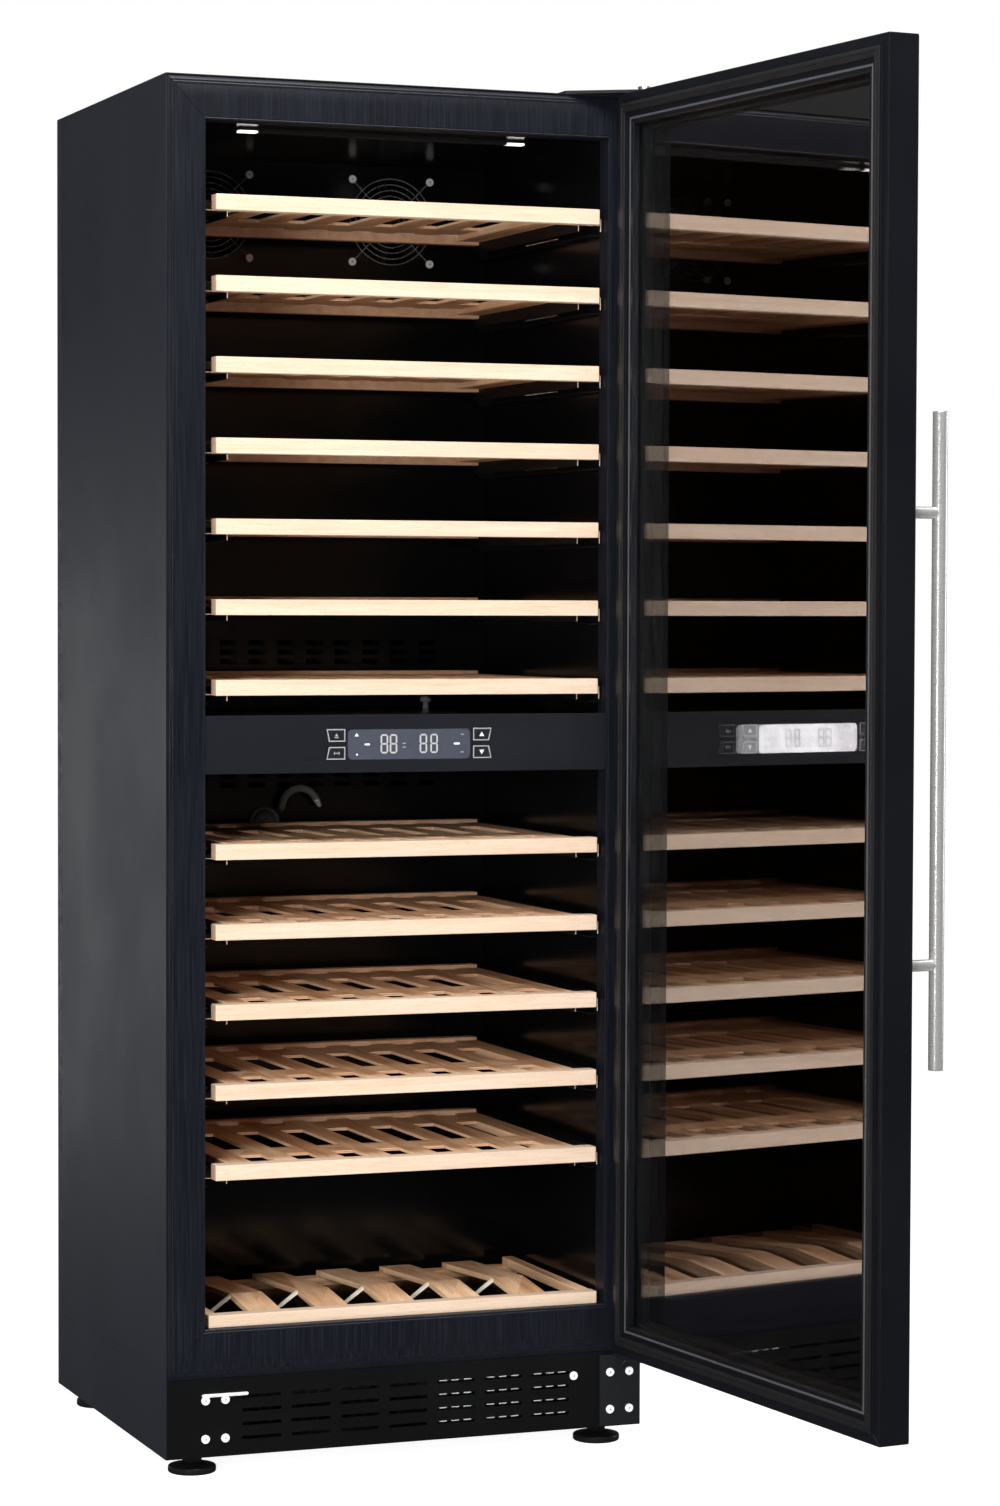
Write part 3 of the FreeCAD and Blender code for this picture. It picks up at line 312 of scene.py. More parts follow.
def metal(name, colour, roughness, brush=(300.0, 300.0, 300.0), metallic=1.0):
    """Bare metal or, with metallic under 1, dull plating; the near-white screws use it for a painted
    highlight.

    Scratches run along the axes with the smaller brush numbers.
    """
    finish = Finish(name, {"Metallic": metallic})
    scratches = finish.noise(1.0, 2.0, finish.stretched(brush))
    finish.put("Base Color", finish.mix(scratches, tone(colour, 0.88), colour))
    finish.put("Roughness", finish.ramp(scratches, 0.3, 0.7, roughness * 0.85, roughness * 1.2))
    finish.bump(scratches, 0.015 * MM)
    return finish


def cabinet_paint():
    """Blue-black side paint with the sheet's two pressed lines low down."""
    finish = coated("cabinet_paint", (0.0095, 0.011, 0.0156), 0.42, 0.05 * MM, 420.0)
    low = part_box("front_frame")[0].z
    height = finish.axis(2)
    upper_line = finish.band(height, low + PRESSED_LINE_RISE, PRESSED_LINE_HALF_W)
    line = finish.either(upper_line, finish.band(height, low, PRESSED_LINE_HALF_W))
    finish.bump(finish.maths("SUBTRACT", 1.0, line), PRESSED_LINE_DEPTH)
    return finish


def frame_paint():
    """Black-stained metal, brushed from top to bottom."""
    finish = coated("frame_paint", (0.003, 0.0036, 0.0062), 0.38, 0.01 * MM, 800.0)
    finish.put("IOR", 1.4)
    brushing = finish.noise(1.0, 3.0, finish.stretched((950.0, 950.0, 9.0)))
    plain = finish.surface.inputs["Base Color"].links[0].from_socket
    share = finish.ramp(brushing, 0.45, 0.75, 0.0, 0.8)
    finish.put("Base Color", finish.mix(share, plain, (0.0125, 0.0145, 0.023)))
    finish.bump(brushing, 0.02 * MM)
    return finish


def kick_paint():
    return coated("kick_paint", (0.0018, 0.0019, 0.0022), 0.44, 0.02 * MM, 800.0)


def door_paint():
    """Satin black on drawn aluminium."""
    finish = coated("door_paint", (0.0038, 0.0042, 0.006), 0.32, 0.015 * MM, 900.0)
    finish.put("IOR", 1.45)
    return finish


def liner_plastic():
    return coated("liner_plastic", (0.0017, 0.0017, 0.0019), 0.17, 0.01 * MM, 90.0, 0.03)


def duct_plastic():
    return coated("duct_plastic", (0.0022, 0.0023, 0.0023), 0.2, 0.015 * MM, 60.0)


def fascia_plastic():
    finish = coated("fascia_plastic", (0.0075, 0.0085, 0.0115), 0.42, 0.03 * MM, 900.0)
    finish.put("IOR", 1.36)
    return finish


def galvanised():
    """Zinc spangle on the back sheet and base, black paint on the flanges that show at the sides."""
    finish = Finish("galvanised", {})
    outside = finish.above(finish.size(0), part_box("side_panel_right")[0].x + 0.2 * MM)
    spangle = finish.axis(0, finish.cells(90.0))
    zinc = finish.mix(spangle, (0.33, 0.35, 0.37), (0.55, 0.57, 0.6))
    finish.put("Base Color", finish.mix(outside, zinc, (0.0115, 0.013, 0.018)))
    finish.put("Metallic", finish.maths("SUBTRACT", 1.0, outside))
    finish.put("Roughness", finish.ramp(spangle, 0.0, 1.0, 0.36, 0.52))
    finish.bump(spangle, 0.02 * MM)
    return finish


def foam():
    finish = Finish("foam", {"Roughness": 0.9})
    blown = finish.noise(160.0, 3.0)
    finish.put("Base Color", finish.mix(blown, (0.62, 0.5, 0.27), (0.8, 0.7, 0.45)))
    finish.bump(blown, 1.5 * MM)
    return finish


def window_acrylic():
    """Smoked, polished window in a slightly cloudy grey-blue."""
    finish = Finish("window_acrylic", {"IOR": 1.49, "Coat Weight": 1.0, "Coat Roughness": 0.04})
    cloud = finish.noise(60.0, 2.0)
    finish.put("Base Color", finish.mix(cloud, (0.042, 0.045, 0.062), (0.058, 0.062, 0.082)))
    finish.put("Roughness", finish.ramp(cloud, 0.3, 0.7, 0.1, 0.16))
    return finish


def print_ink(name, colour):
    """Opaque ink or lacquer with a slight grain."""
    finish = Finish(name, {"Roughness": 0.5})
    grain = finish.noise(2500.0, 1.0)
    finish.put("Base Color", finish.mix(grain, tone(colour, 0.85), colour))
    return finish


def lattice_masks(finish, node):
    """Where a sliding rack's boards run along X, and where its steel slides are."""
    low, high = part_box(node)
    top = high.z - RACK_TOP_RISE
    x, y, z = finish.size(0), finish.axis(1), finish.axis(2)
    in_gap = finish.below(finish.maths("PINGPONG", x, SLAT_PITCH / 2), GAP_HALF_W)
    under = finish.either(in_gap, finish.below(z, top - LAP_DROP))
    boards = 0.0
    for start, end in CROSS_BOARDS:
        inside = finish.both(finish.above(y, low.y + start), finish.below(y, low.y + end))
        boards = finish.either(boards, inside)
    across = finish.both(finish.both(boards, under), finish.below(x, SIDE_BOARD_X))
    behind = finish.above(y, low.y + RAIL_DEPTH + 0.1 * MM)
    web = finish.both(finish.above(x, WOOD_HALF_W - 0.05 * MM), finish.below(z, top - SIDE_BOARD_DROP))
    steel = finish.both(behind, finish.either(finish.above(x, WOOD_HALF_W + 0.05 * MM), web))
    return across, steel


def beech(name, node, sliding=True):
    """Steamed beech. Grain runs along X in the rails and cross boards and along Y in the slats. The slat
    tones hold painted light and painted shade.
    """
    finish = Finish(name, {"IOR": 1.45})
    low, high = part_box(node)
    y = finish.axis(1)
    front = finish.below(y, low.y + RAIL_DEPTH + 0.1 * MM)
    rails = finish.either(front, finish.above(y, high.y - REAR_RAIL_DEPTH))
    across, steel = lattice_masks(finish, node) if sliding else (0.0, 0.0)
    crosswise = finish.either(rails, across)
    board = finish.nodes.new("ShaderNodeNewGeometry").outputs["Random Per Island"]
    add = finish.nodes.new("ShaderNodeVectorMath")
    finish.feed(add.inputs[0], finish.place)
    finish.feed(add.inputs[1], finish.stretched((7.0, 11.0, 5.0), board))
    moved = add.outputs[0]
    along = finish.mix(crosswise, finish.stretched((1.0, 0.045, 1.0), moved),
                       finish.stretched((0.045, 1.0, 1.0), moved), "VECTOR")
    short = finish.mix(crosswise, finish.stretched((1.0, 0.16, 1.0), moved),
                       finish.stretched((0.16, 1.0, 1.0), moved), "VECTOR")
    bands = finish.noise(75.0, 3.0, along)
    streaks = finish.noise(620.0, 2.0, along)
    flecks = finish.noise(1500.0, 1.0, short)
    pale = finish.mix(board, (0.59, 0.455, 0.345), (0.63, 0.495, 0.39))
    deep = finish.mix(board, (0.52, 0.385, 0.27), (0.57, 0.43, 0.32))
    rail_wood = finish.mix(finish.ramp(bands, 0.35, 0.7), pale, deep)
    # Painted light and shade: the slat tones are brighter than the rails' wood to stand in for light on the
    # slat tops, and the dark red-brown tone stands in for shade under the rack above, spread by the grain
    # bands.
    slat_painted_light = finish.mix(board, (0.76, 0.47, 0.27), (0.92, 0.68, 0.46))
    slat_grain_and_shade = finish.mix(board, (0.4, 0.19, 0.085), (0.66, 0.40, 0.22))
    slat_wood = finish.mix(finish.ramp(bands, 0.3, 0.7), slat_painted_light, slat_grain_and_shade)
    wood = finish.mix(front, slat_wood, rail_wood)
    wood = finish.mix(finish.ramp(streaks, 0.5, 0.75, 0.0, 0.35), wood, (0.42, 0.25, 0.13))
    wood = finish.mix(finish.ramp(flecks, 0.62, 0.68, 0.0, 0.3), wood, (0.36, 0.19, 0.09))
    facing_x = finish.above(finish.size(0, finish.normal), 0.7)
    facing_y = finish.above(finish.size(1, finish.normal), 0.7)
    lengthwise = finish.maths("SUBTRACT", 1.0, crosswise)
    end_grain = finish.either(finish.both(facing_x, crosswise), finish.both(facing_y, lengthwise))
    wood = finish.mix(finish.both(end_grain, 0.55), wood, (0.42, 0.22, 0.14))
    finish.put("Base Color", finish.mix(steel, wood, (0.02, 0.02, 0.022)))
    finish.put("Metallic", finish.both(steel, 0.8))
    finish.put("Roughness", finish.ramp(streaks, 0.3, 0.7, 0.5, 0.64))
    finish.bump(streaks, 0.05 * MM)
    finish.bump(flecks, 0.03 * MM)
    return finish


def outer_pane_glass():
    """Bronze glass with a reflective coat: mirrors strongly and lets little through."""
    finish = Finish("outer_pane_glass", {"IOR": 4.5, "Transmission Weight": 1.0, "Roughness": 0.0,
                                         "Specular Tint": (1.0, 0.92, 0.96)})
    cloud = finish.noise(2.5, 1.0)
    finish.put("Base Color", finish.mix(cloud, (0.034, 0.018, 0.01), (0.05, 0.027, 0.015)))
    return finish


def inner_pane_glass():
    finish = Finish("inner_pane_glass", {"IOR": 1.3, "Transmission Weight": 1.0, "Roughness": 0.0})
    cloud = finish.noise(2.5, 1.0)
    finish.put("Base Color", finish.mix(cloud, (0.9, 0.93, 0.92), (0.96, 0.97, 0.97)))
    return finish


def spacer_coating():
    """Black spacer bar with a row of small breathing holes along the middle of each side."""
    finish = Finish("spacer_coating", {"IOR": 1.3})
    low, high = closed_box("glass_spacer")
    middle, half = (low + high) / 2, (high - low) / 2
    turn = door_opening()
    across = turn.to_3x3() @ Vector((1, 0, 0))
    reach = finish.nodes.new("ShaderNodeVectorMath")
    reach.operation = "DOT_PRODUCT"
    finish.feed(reach.inputs[0], finish.place)
    finish.feed(reach.inputs[1], tuple(across))
    x = finish.maths("SUBTRACT", reach.outputs["Value"], turn.translation.dot(across) + middle.x)
    z = finish.maths("SUBTRACT", finish.axis(2), middle.z)
    from_side = finish.maths("SUBTRACT", half.x, finish.maths("ABSOLUTE", x))
    from_end = finish.maths("SUBTRACT", half.z, finish.maths("ABSOLUTE", z))
    depth = finish.maths("MINIMUM", from_side, from_end)
    upright = finish.below(from_side, from_end)
    dashes = finish.mix(upright, finish.dashes(x, HOLE_PITCH, HOLE_R), finish.dashes(z, HOLE_PITCH, HOLE_R))
    hole = finish.both(finish.band(depth, SPACER_MIDDLE, HOLE_R * 1.3), dashes)
    cloud = finish.noise(400.0, 1.0)
    finish.put("Base Color", finish.mix(hole, (0.004, 0.004, 0.0045), (0.05, 0.05, 0.055)))
    finish.put("Roughness", finish.ramp(cloud, 0.3, 0.7, 0.55, 0.65))
    return finish


def gasket_rubber():
    return coated("gasket_rubber", (0.007, 0.007, 0.008), 0.4, 0.02 * MM, 1200.0)


def lamp_lens():
    """The LED strip: a smoked lens with milky ends."""
    finish = Finish("lamp_lens", {"IOR": 1.49})
    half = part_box("interior_lamps")[1].x
    height = finish.axis(2)
    lower, upper = (box[0].z for box in islands("interior_lamps"))
    edge = finish.either(finish.band(height, lower, LAMP_EDGE), finish.band(height, upper, LAMP_EDGE))
    end = finish.both(edge, finish.ramp(finish.size(0), half - LAMP_END, half - LAMP_END + LAMP_END_BLUR))
    cloud = finish.noise(300.0, 1.0)
    finish.put("Base Color", finish.mix(end, (0.006, 0.006, 0.007), (0.9, 0.9, 0.88)))
    finish.put("Roughness", finish.ramp(cloud, 0.3, 0.7, 0.3, 0.4))
    finish.put("Emission Color", finish.mix(end, (0.0, 0.0, 0.0), (1.0, 1.0, 0.98)))
    finish.surface.inputs["Emission Strength"].default_value = LAMP_GLOW
    return finish


def bracket_paint():
    """Black hinge plates with the bright heads of their pins."""
    finish = coated("bracket_paint", (0.009, 0.0095, 0.011), 0.34, 0.02 * MM, 800.0)
    strap_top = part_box("top_panel")[1].z + STRAP_TOP_RISE
    head = finish.above(finish.axis(2), strap_top)
    paint = finish.surface.inputs["Base Color"].links[0].from_socket
    finish.put("Base Color", finish.mix(head, paint, (0.62, 0.62, 0.62)))
    finish.put("Metallic", head)
    return finish


def inlet_plastic():
    return coated("inlet_plastic", (0.012, 0.012, 0.013), 0.42, 0.03 * MM, 900.0)


def ferrule_steel():
    return metal("ferrule_steel", (0.9, 0.9, 0.9), 0.25, metallic=0.4)


# ---------------------------------------------------------------- mesh helpers

def bridge(bm, near, far):
    """Closes two matching outlines into a solid."""
    count = len(near)
    bm.faces.new(near[::-1])
    bm.faces.new(far)
    for i in range(count):
        j = (i + 1) % count
        bm.faces.new((near[i], near[j], far[j], far[i]))


def add_prism(bm, outline, push):
    """The closed outline's points, and the same pushed along a vector."""
    near = [bm.verts.new(Vector(p)) for p in outline]
    far = [bm.verts.new(Vector(p) + Vector(push)) for p in outline]
    bridge(bm, near, far)


def add_box(bm, low, high):
    outline = [(low[0], low[1], low[2]), (high[0], low[1], low[2]),
               (high[0], low[1], high[2]), (low[0], low[1], high[2])]
    add_prism(bm, outline, (0, high[1] - low[1], 0))


def add_ring(bm, outer, inner, profile, gap=0.0):
    """Four mitred members between two rectangles (x0, x1, z0, z1), each cut short by gap at both ends.

    profile is a closed outline of (share of the way in, y).
    """
    loops = []
    for share, y in profile:
        x0, x1, z0, z1 = [o + (i - o) * share for o, i in zip(outer, inner)]
        loops.append([Vector(c) for c in ((x0, y, z0), (x1, y, z0), (x1, y, z1), (x0, y, z1))])
    for side in range(4):
        other = (side + 1) % 4
        trim = (loops[0][other] - loops[0][side]).normalized() * gap
        near = [bm.verts.new(loop[side] + trim) for loop in loops]
        far = [bm.verts.new(loop[other] - trim) for loop in loops]
        bridge(bm, near, far)


def add_turned(bm, profile, centre, axis, segments):
    """A turned solid. profile is (radius, height) from the axis out and back to it."""
    turn = Vector((0, 0, 1)).rotation_difference(Vector(axis)).to_matrix()
    rings = []
    for radius, height in profile:
        count = segments if radius > 0 else 1
        angles = [2 * math.pi * i / segments for i in range(count)]
        points = [Vector((radius * math.cos(a), radius * math.sin(a), height)) for a in angles]
        rings.append([bm.verts.new(Vector(centre) + turn @ p) for p in points])
    for low, high in zip(rings, rings[1:]):
        for i in range(segments):
            j = (i + 1) % segments
            corners = [low[i % len(low)], low[j % len(low)], high[j % len(high)], high[i % len(high)]]
            bm.faces.new(list(dict.fromkeys(corners)))


def add_tube(bm, path, radius, segments):
    """A round tube along points, closed at both ends."""
    points = [Vector(p) for p in path]
    rings = []
    side = Vector((0, 1, 0))
    for i, point in enumerate(points):
        ahead = points[min(i + 1, len(points) - 1)] - points[max(i - 1, 0)]
        ahead.normalize()
        side = (side - ahead * side.dot(ahead)).normalized()
        up = ahead.cross(side)
        ring = []
        for k in range(segments):
            angle = 2 * math.pi * k / segments
            ring.append(bm.verts.new(point + (side * math.cos(angle) + up * math.sin(angle)) * radius))
        rings.append(ring)
    bm.faces.new(rings[0][::-1])
    bm.faces.new(rings[-1])
    for low, high in zip(rings, rings[1:]):
        for k in range(segments):
            n = (k + 1) % segments
            bm.faces.new((low[k], low[n], high[n], high[k]))


def finish_piece(name, bm, finish, body, place=None, bevel=0.0):
    """Turns a bmesh into a piece that rides on a body."""
    bmesh.ops.recalc_face_normals(bm, faces=bm.faces)
    mesh = bpy.data.meshes.new(name)
    bm.to_mesh(mesh)
    bm.free()
    if place is not None:
        mesh.transform(place)
    mesh.shade_smooth()
    mesh.set_sharp_from_angle(angle=SHARP_ANGLE)
    mesh.materials.append(finish.material)
    piece = bpy.data.objects.new(name, mesh)
    bpy.context.scene.collection.objects.link(piece)
    if bevel:
        soften(piece, bevel, weld=False)
    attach(piece, body)
    return piece


def soften(piece, width, segments=2, weld=True):
    """Rounds the hard edges, so that they catch the light."""
    if weld:
        join = piece.modifiers.new("weld", "WELD")
        join.merge_threshold = 0.002 * MM
    bevel = piece.modifiers.new("bevel", "BEVEL")
    bevel.width = width
    bevel.segments = segments
    bevel.limit_method = "ANGLE"
    bevel.angle_limit = SHARP_ANGLE
    bevel.use_clamp_overlap = True
    bevel.harden_normals = True


def islands(node):
    """The box of each separate solid in a CAD node, as (low, high) pairs."""
    mesh = frame["nodes"][node].data
    points = [tuple(round(c, 6) for c in v.co) for v in mesh.vertices]
    keys = {p: i for i, p in enumerate(dict.fromkeys(points))}
    parent = list(range(len(keys)))

    def root(i):
        while parent[i] != i:
            parent[i] = parent[parent[i]]
            i = parent[i]
        return i

    for edge in mesh.edges:
        a, b = (root(keys[points[v]]) for v in edge.vertices)
        parent[a] = b
    groups = {}
    for point, i in keys.items():
        groups.setdefault(root(i), []).append(point)
    found = []
    for members in groups.values():
        array = np.array(members)
        found.append((Vector(array.min(0)), Vector(array.max(0))))
    return sorted(found, key=lambda box: (round(box[0].z, 4), round(box[0].x, 4), round(box[0].y, 4)))


def hinge_joint():
    return next(j for j in frame["joints"] if j["name"] == "door_hinge")


def door_opening():
    """What turns the door from closed to where it stands at rest."""
    joint = hinge_joint()
    pin = Vector(joint["pos_m"])
    closed_angle = math.radians(joint["range_deg"][0])
    return Matrix.Translation(pin) @ Matrix.Rotation(-closed_angle, 4, "Z") @ Matrix.Translation(-pin)


def closed_box(node):
    """A door node's box when the door is closed."""
    back = door_opening().inverted()
    corners = np.array([back @ v.co for v in frame["nodes"][node].data.vertices])
    return Vector(corners.min(0)), Vector(corners.max(0))


def inset(rectangle, distance):
    x0, x1, z0, z1 = rectangle
    return (x0 + distance, x1 - distance, z0 + distance, z1 - distance)


# ---------------------------------------------------------------- finishes on the CAD nodes

def dress(node, finish, width=0.0, segments=2):
    """Gives a CAD node its finish and, where it helps, eased edges."""
    piece = frame["nodes"][node]
    piece.data.materials.clear()
    piece.data.materials.append(finish.material)
    if width:
        soften(piece, width, segments)


def dress_cabinet():
    """Sheets, liners, control panel, hinges, screws and feet."""
    paint = cabinet_paint()
    for node in ("side_panel_left", "side_panel_right", "top_panel"):
        dress(node, paint)
    zinc = galvanised()
    dress("rear_panel", zinc)
    dress("base_plate", zinc)
    dress("kick_plate", kick_paint())
    liner = liner_plastic()
    dress("liner_upper", liner)
    dress("liner_lower", liner)
    duct = duct_plastic()
    dress("duct_cover_upper", duct, 0.4 * MM)
    dress("duct_cover_lower", duct, 0.4 * MM)
    dress("insulation_foam", foam())
    dress("control_fascia", fascia_plastic(), 0.8 * MM)
    dress("display_window", window_acrylic(), 0.4 * MM)
    caps = coated("key_plastic", (0.008, 0.009, 0.012), 0.4, 0.03 * MM, 900.0)
    for key in KEYS:
        dress(key, caps, 0.25 * MM)
    dress("rack_runners", coated("runner_enamel", (0.006, 0.006, 0.007), 0.4))
    dress("interior_lamps", lamp_lens(), 0.6 * MM)
    bracket = bracket_paint()
    dress("hinge_bracket_bottom", bracket, 0.5 * MM)
    dress("hinge_bracket_top", bracket, 0.5 * MM)
    # Painted highlight: the screw heads are near-white and barely metallic so that they show bright like
    # glints.
    dress("case_screws", metal("screw_steel", (0.96, 0.96, 0.97), 0.3, metallic=0.2))
    dress("power_inlet", inlet_plastic(), 0.4 * MM)
    foot = coated("foot_plastic", (0.006, 0.006, 0.0065), 0.34, 0.05 * MM, 300.0)
    for node in FEET:
        dress(node, foot)


def dress_cooling():
    plastic = coated("fan_plastic", (0.008, 0.008, 0.009), 0.38, 0.03 * MM, 700.0)
    for node in ROTORS + ["fan_frames"]:
        dress(node, plastic)
    dress("fan_guards", metal("guard_chrome", (0.3, 0.3, 0.31), 0.25, metallic=0.6))
    coil = metal("coil_aluminium", (0.72, 0.73, 0.75), 0.35)
    dress("evaporators", coil)
    dress("condenser_coil", coil)
    dress("compressor", coated("compressor_enamel", (0.006, 0.006, 0.007), 0.3, 0.05 * MM, 250.0))


def dress_racks():
    for node in RACKS:
        dress(node, beech("beech_" + node, node), 0.9 * MM)
    dress("display_rack", beech("beech_display", "display_rack", sliding=False), 0.9 * MM)


def dress_door():
    paint = door_paint()
    for node in DOOR_MEMBERS:
        dress(node, paint, 1.4 * MM, 3)
    dress("outer_glass", outer_pane_glass())
    dress("inner_glass", inner_pane_glass())
    dress("glass_spacer", spacer_coating(), 0.4 * MM)
    steel = metal("brushed_steel", (0.9, 0.895, 0.88), 0.3, (60.0, 60.0, 2600.0), 0.8)
    dress("handle_bar", steel)
    dress("handle_standoffs", steel)


# ---------------------------------------------------------------- cabinet pieces

def arc_points(start, end, bow, steps):
    """Points from start to end, bowed by a half sine."""
    points = []
    for i in range(steps + 1):
        t = i / steps
        share = start[0] + (end[0] - start[0]) * t
        y = start[1] + (end[1] - start[1]) * t + bow * math.sin(math.pi * t)
        points.append((share, y))
    return points


def frame_profile(face_y, back_y):
    """The front frame's section: crowned outer half with two beads, flat inner half, rolled inner edge."""
    points = [(0.0, face_y + FRAME_RETURN)]
    for i in range(CROWN_STEPS + 1):
        share = CROWN_END * i / CROWN_STEPS
        y = face_y + CROWN_SAG * (1 - share / CROWN_END) ** 2
        for middle in BEAD_MIDDLES:
            away = abs(share - middle)
            if away < BEAD_REACH:
                y -= BEAD_H * math.cos(away / BEAD_REACH * math.pi / 2)
        points.append((share, y))
    points.append((0.93, face_y))
    points += arc_points((0.945, face_y + 0.6 * MM), (0.998, face_y + 1.4 * MM), -0.9 * MM, 6)
    points.append((0.998, back_y))
    points.append((0.96, back_y))
    points.append((0.94, face_y + 3 * MM))
    points.append((0.06, face_y + 5 * MM))
    points.append((0.05, face_y + FRAME_RETURN))
    return points


def front_frame_skin():
    """The rolled front frame, four members that meet in mitres."""
    low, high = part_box("front_frame")
    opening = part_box("control_fascia")
    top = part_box("liner_upper")[1].z - LIP_OVER_LINER_TOP
    outer = (low.x, high.x, low.z, high.z)
    inner = (opening[0].x, opening[1].x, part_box("liner_lower")[0].z + LIP_OVER_LINER_FLOOR, top)
    bm = bmesh.new()
    add_ring(bm, outer, inner, frame_profile(low.y, high.y), MITRE_GAP)
    piece = finish_piece("front_frame_skin", bm, frame_paint(), "cabinet")
    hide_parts("front_frame")


def screw_crosses():
    """The cross recess of each pan head, as an inlay painted dark for the shade in the recess."""
    # Painted shade: the dark inlay stands in for the shade inside each cross recess.
    finish = coated("recess_painted_shade", (0.09, 0.09, 0.09), 0.5)
    bm = bmesh.new()
    for low, high in islands("case_screws"):
        size = high - low
        if max(size.x, size.z) > LARGEST_HEAD:
            continue
        middle = (low + high) / 2
        upright = size.z < min(size.x, size.y)
        for a, b in ((CROSS_ARM, CROSS_HALF_W), (CROSS_HALF_W, CROSS_ARM)):
            if upright:
                add_box(bm, (middle.x - a, middle.y - b, high.z - CROSS_DEPTH),
                        (middle.x + a, middle.y + b, high.z + CROSS_PROUD))
            else:
                add_box(bm, (middle.x - a, low.y - CROSS_PROUD, middle.z - b),
                        (middle.x + a, low.y + CROSS_DEPTH, middle.z + b))
    finish_piece("screw_recesses", bm, finish, "cabinet")


def spare_hinge_strip():
    """The bright strip over the unused hinge place at the left."""
    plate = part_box("kick_plate")[0]
    z = plate.z + STRIP_RISE
    ends = ((STRIP_SPAN[0] + STRIP_HALF_H, math.pi / 2), (STRIP_SPAN[1] - STRIP_HALF_H, -math.pi / 2))
    outline = []
    for end_x, start in ends:
        for i in range(9):
            angle = start + math.pi * i / 8
            x = end_x + STRIP_HALF_H * math.cos(angle)
            outline.append((x, plate.y, z + STRIP_HALF_H * math.sin(angle)))
    bm = bmesh.new()
    add_prism(bm, outline, (0, -STRIP_T, 0))
    finish = metal("strip_aluminium", (0.9, 0.9, 0.92), 0.3, (40.0, 900.0, 900.0), 0.4)
    finish_piece("spare_hinge_strip", bm, finish, "cabinet", bevel=0.7 * MM)


def ball_cages():
    """A strip of balls in the mouth of every rack slide."""
    bm = bmesh.new()
    ball = [(0.0, -1.7 * MM), (1.2 * MM, -1.2 * MM), (1.7 * MM, 0.0), (1.2 * MM, 1.2 * MM), (0.0, 1.7 * MM)]
    for node in RACKS:
        low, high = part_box(node)
        z = high.z - RACK_TOP_RISE - CAGE_DROP
        for side in (-1, 1):
            x = side * CAGE_X
            y = low.y + CAGE_START
            length = CAGE_PITCH * (CAGE_BALLS - 1)
            add_box(bm, (x - CAGE_HALF_T, y - CAGE_MARGIN, z - CAGE_HALF_H),
                    (x + CAGE_HALF_T, y + length + CAGE_MARGIN, z + CAGE_HALF_H))
            for i in range(CAGE_BALLS):
                add_turned(bm, ball, (x - side * 0.6 * MM, y + i * CAGE_PITCH, z), (0, 1, 0), 8)
    finish = metal("bearing_steel", (0.8, 0.8, 0.8), 0.2)
    finish_piece("ball_cages", bm, finish, "cabinet")


def display_props():
    """The pale legs that hold the display rack's slats up at their ridge."""
    low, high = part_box("display_rack")
    ridge_y = low.y + PROP_SETBACK
    bm = bmesh.new()
    for box_low, box_high in islands("display_rack"):
        is_slat = box_high.z > high.z - 1 * MM
        if not is_slat:
            continue
        x, z = box_low.x, high.z - 1.5 * MM
        foot_z = low.z + 0.3 * MM
        foot_x = x - (z - foot_z) * PROP_SPREAD
        outline = [(x, z), (x, z - PROP_T), (foot_x, foot_z), (foot_x - PROP_T, foot_z)]
        add_prism(bm, [(px, ridge_y - PROP_W / 2, pz) for px, pz in outline], (0, PROP_W, 0))
    finish = print_ink("prop_birch", (0.93, 0.86, 0.74))
    finish_piece("display_props", bm, finish, "cabinet", bevel=0.3 * MM)


def duct_filter():
    """The round smoked filter cap on the lower zone's rear wall."""
    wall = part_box("duct_cover_lower")[0]
    profile = [(0, 0), (22, 0), (22, 4), (21, 5.5), (19.4, 5.5), (18.6, 4.6), (17.2, 4.6), (16.4, 8),
               (15, 10), (11, 11.2), (10, 10.4), (6, 10.4), (5, 11.6), (0, 12)]
    bm = bmesh.new()
    centre = (FILTER_PLACE[0], wall.y - FITTING_GAP, FILTER_PLACE[1])
    add_turned(bm, [(r * MM, h * MM) for r, h in profile], centre, (0, -1, 0), 40)
    for i in range(FILTER_STUDS):
        angle = 2 * math.pi * i / FILTER_STUDS
        x = centre[0] + FILTER_STUD_RING_R * math.cos(angle)
        z = centre[2] + FILTER_STUD_RING_R * math.sin(angle)
        add_turned(bm, [(0, 0), (1.3 * MM, 0), (1.3 * MM, 6.3 * MM), (0, 6.8 * MM)],
                   (x, wall.y - FITTING_GAP, z), (0, -1, 0), 8)
    finish = coated("filter_plastic", (0.24, 0.28, 0.33), 0.22, 0.02 * MM)
    finish_piece("duct_filter", bm, finish, "cabinet")


def duct_probe():
    """The rigid hooked sensor tube beside the filter, with its bright ferrule."""
    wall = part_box("duct_cover_lower")[0].y
    middle_x, middle_z = PROBE_PLACE
    start = middle_x - PROBE_R
    path = [(start, wall - 1 * MM, middle_z - 4 * MM), (start, wall - 10 * MM, middle_z - 3 * MM)]
    for i in range(PROBE_STEPS + 1):
        angle = math.pi * (1 - i / PROBE_STEPS * PROBE_HOOK)
        x = middle_x + PROBE_R * math.cos(angle)
        path.append((x, wall - PROBE_STANDOFF, middle_z + PROBE_R * math.sin(angle)))
    bm = bmesh.new()
    add_tube(bm, path, PROBE_TUBE_R, 16)
    finish = coated("probe_rubber", (0.16, 0.155, 0.14), 0.2, 0.02 * MM)
    finish_piece("duct_probe", bm, finish, "cabinet")
    tip, before = Vector(path[-1]), Vector(path[-2])
    bm = bmesh.new()
    profile = [(0, 0), (4.4, 0), (4.4, 6), (3.4, 7), (3.4, 12), (2.2, 14), (0, 14.6)]
    add_turned(bm, [(r * MM, h * MM) for r, h in profile], tip - (tip - before) * 0.4, tip - before, 20)
    finish_piece("duct_probe_tip", bm, ferrule_steel(), "cabinet")


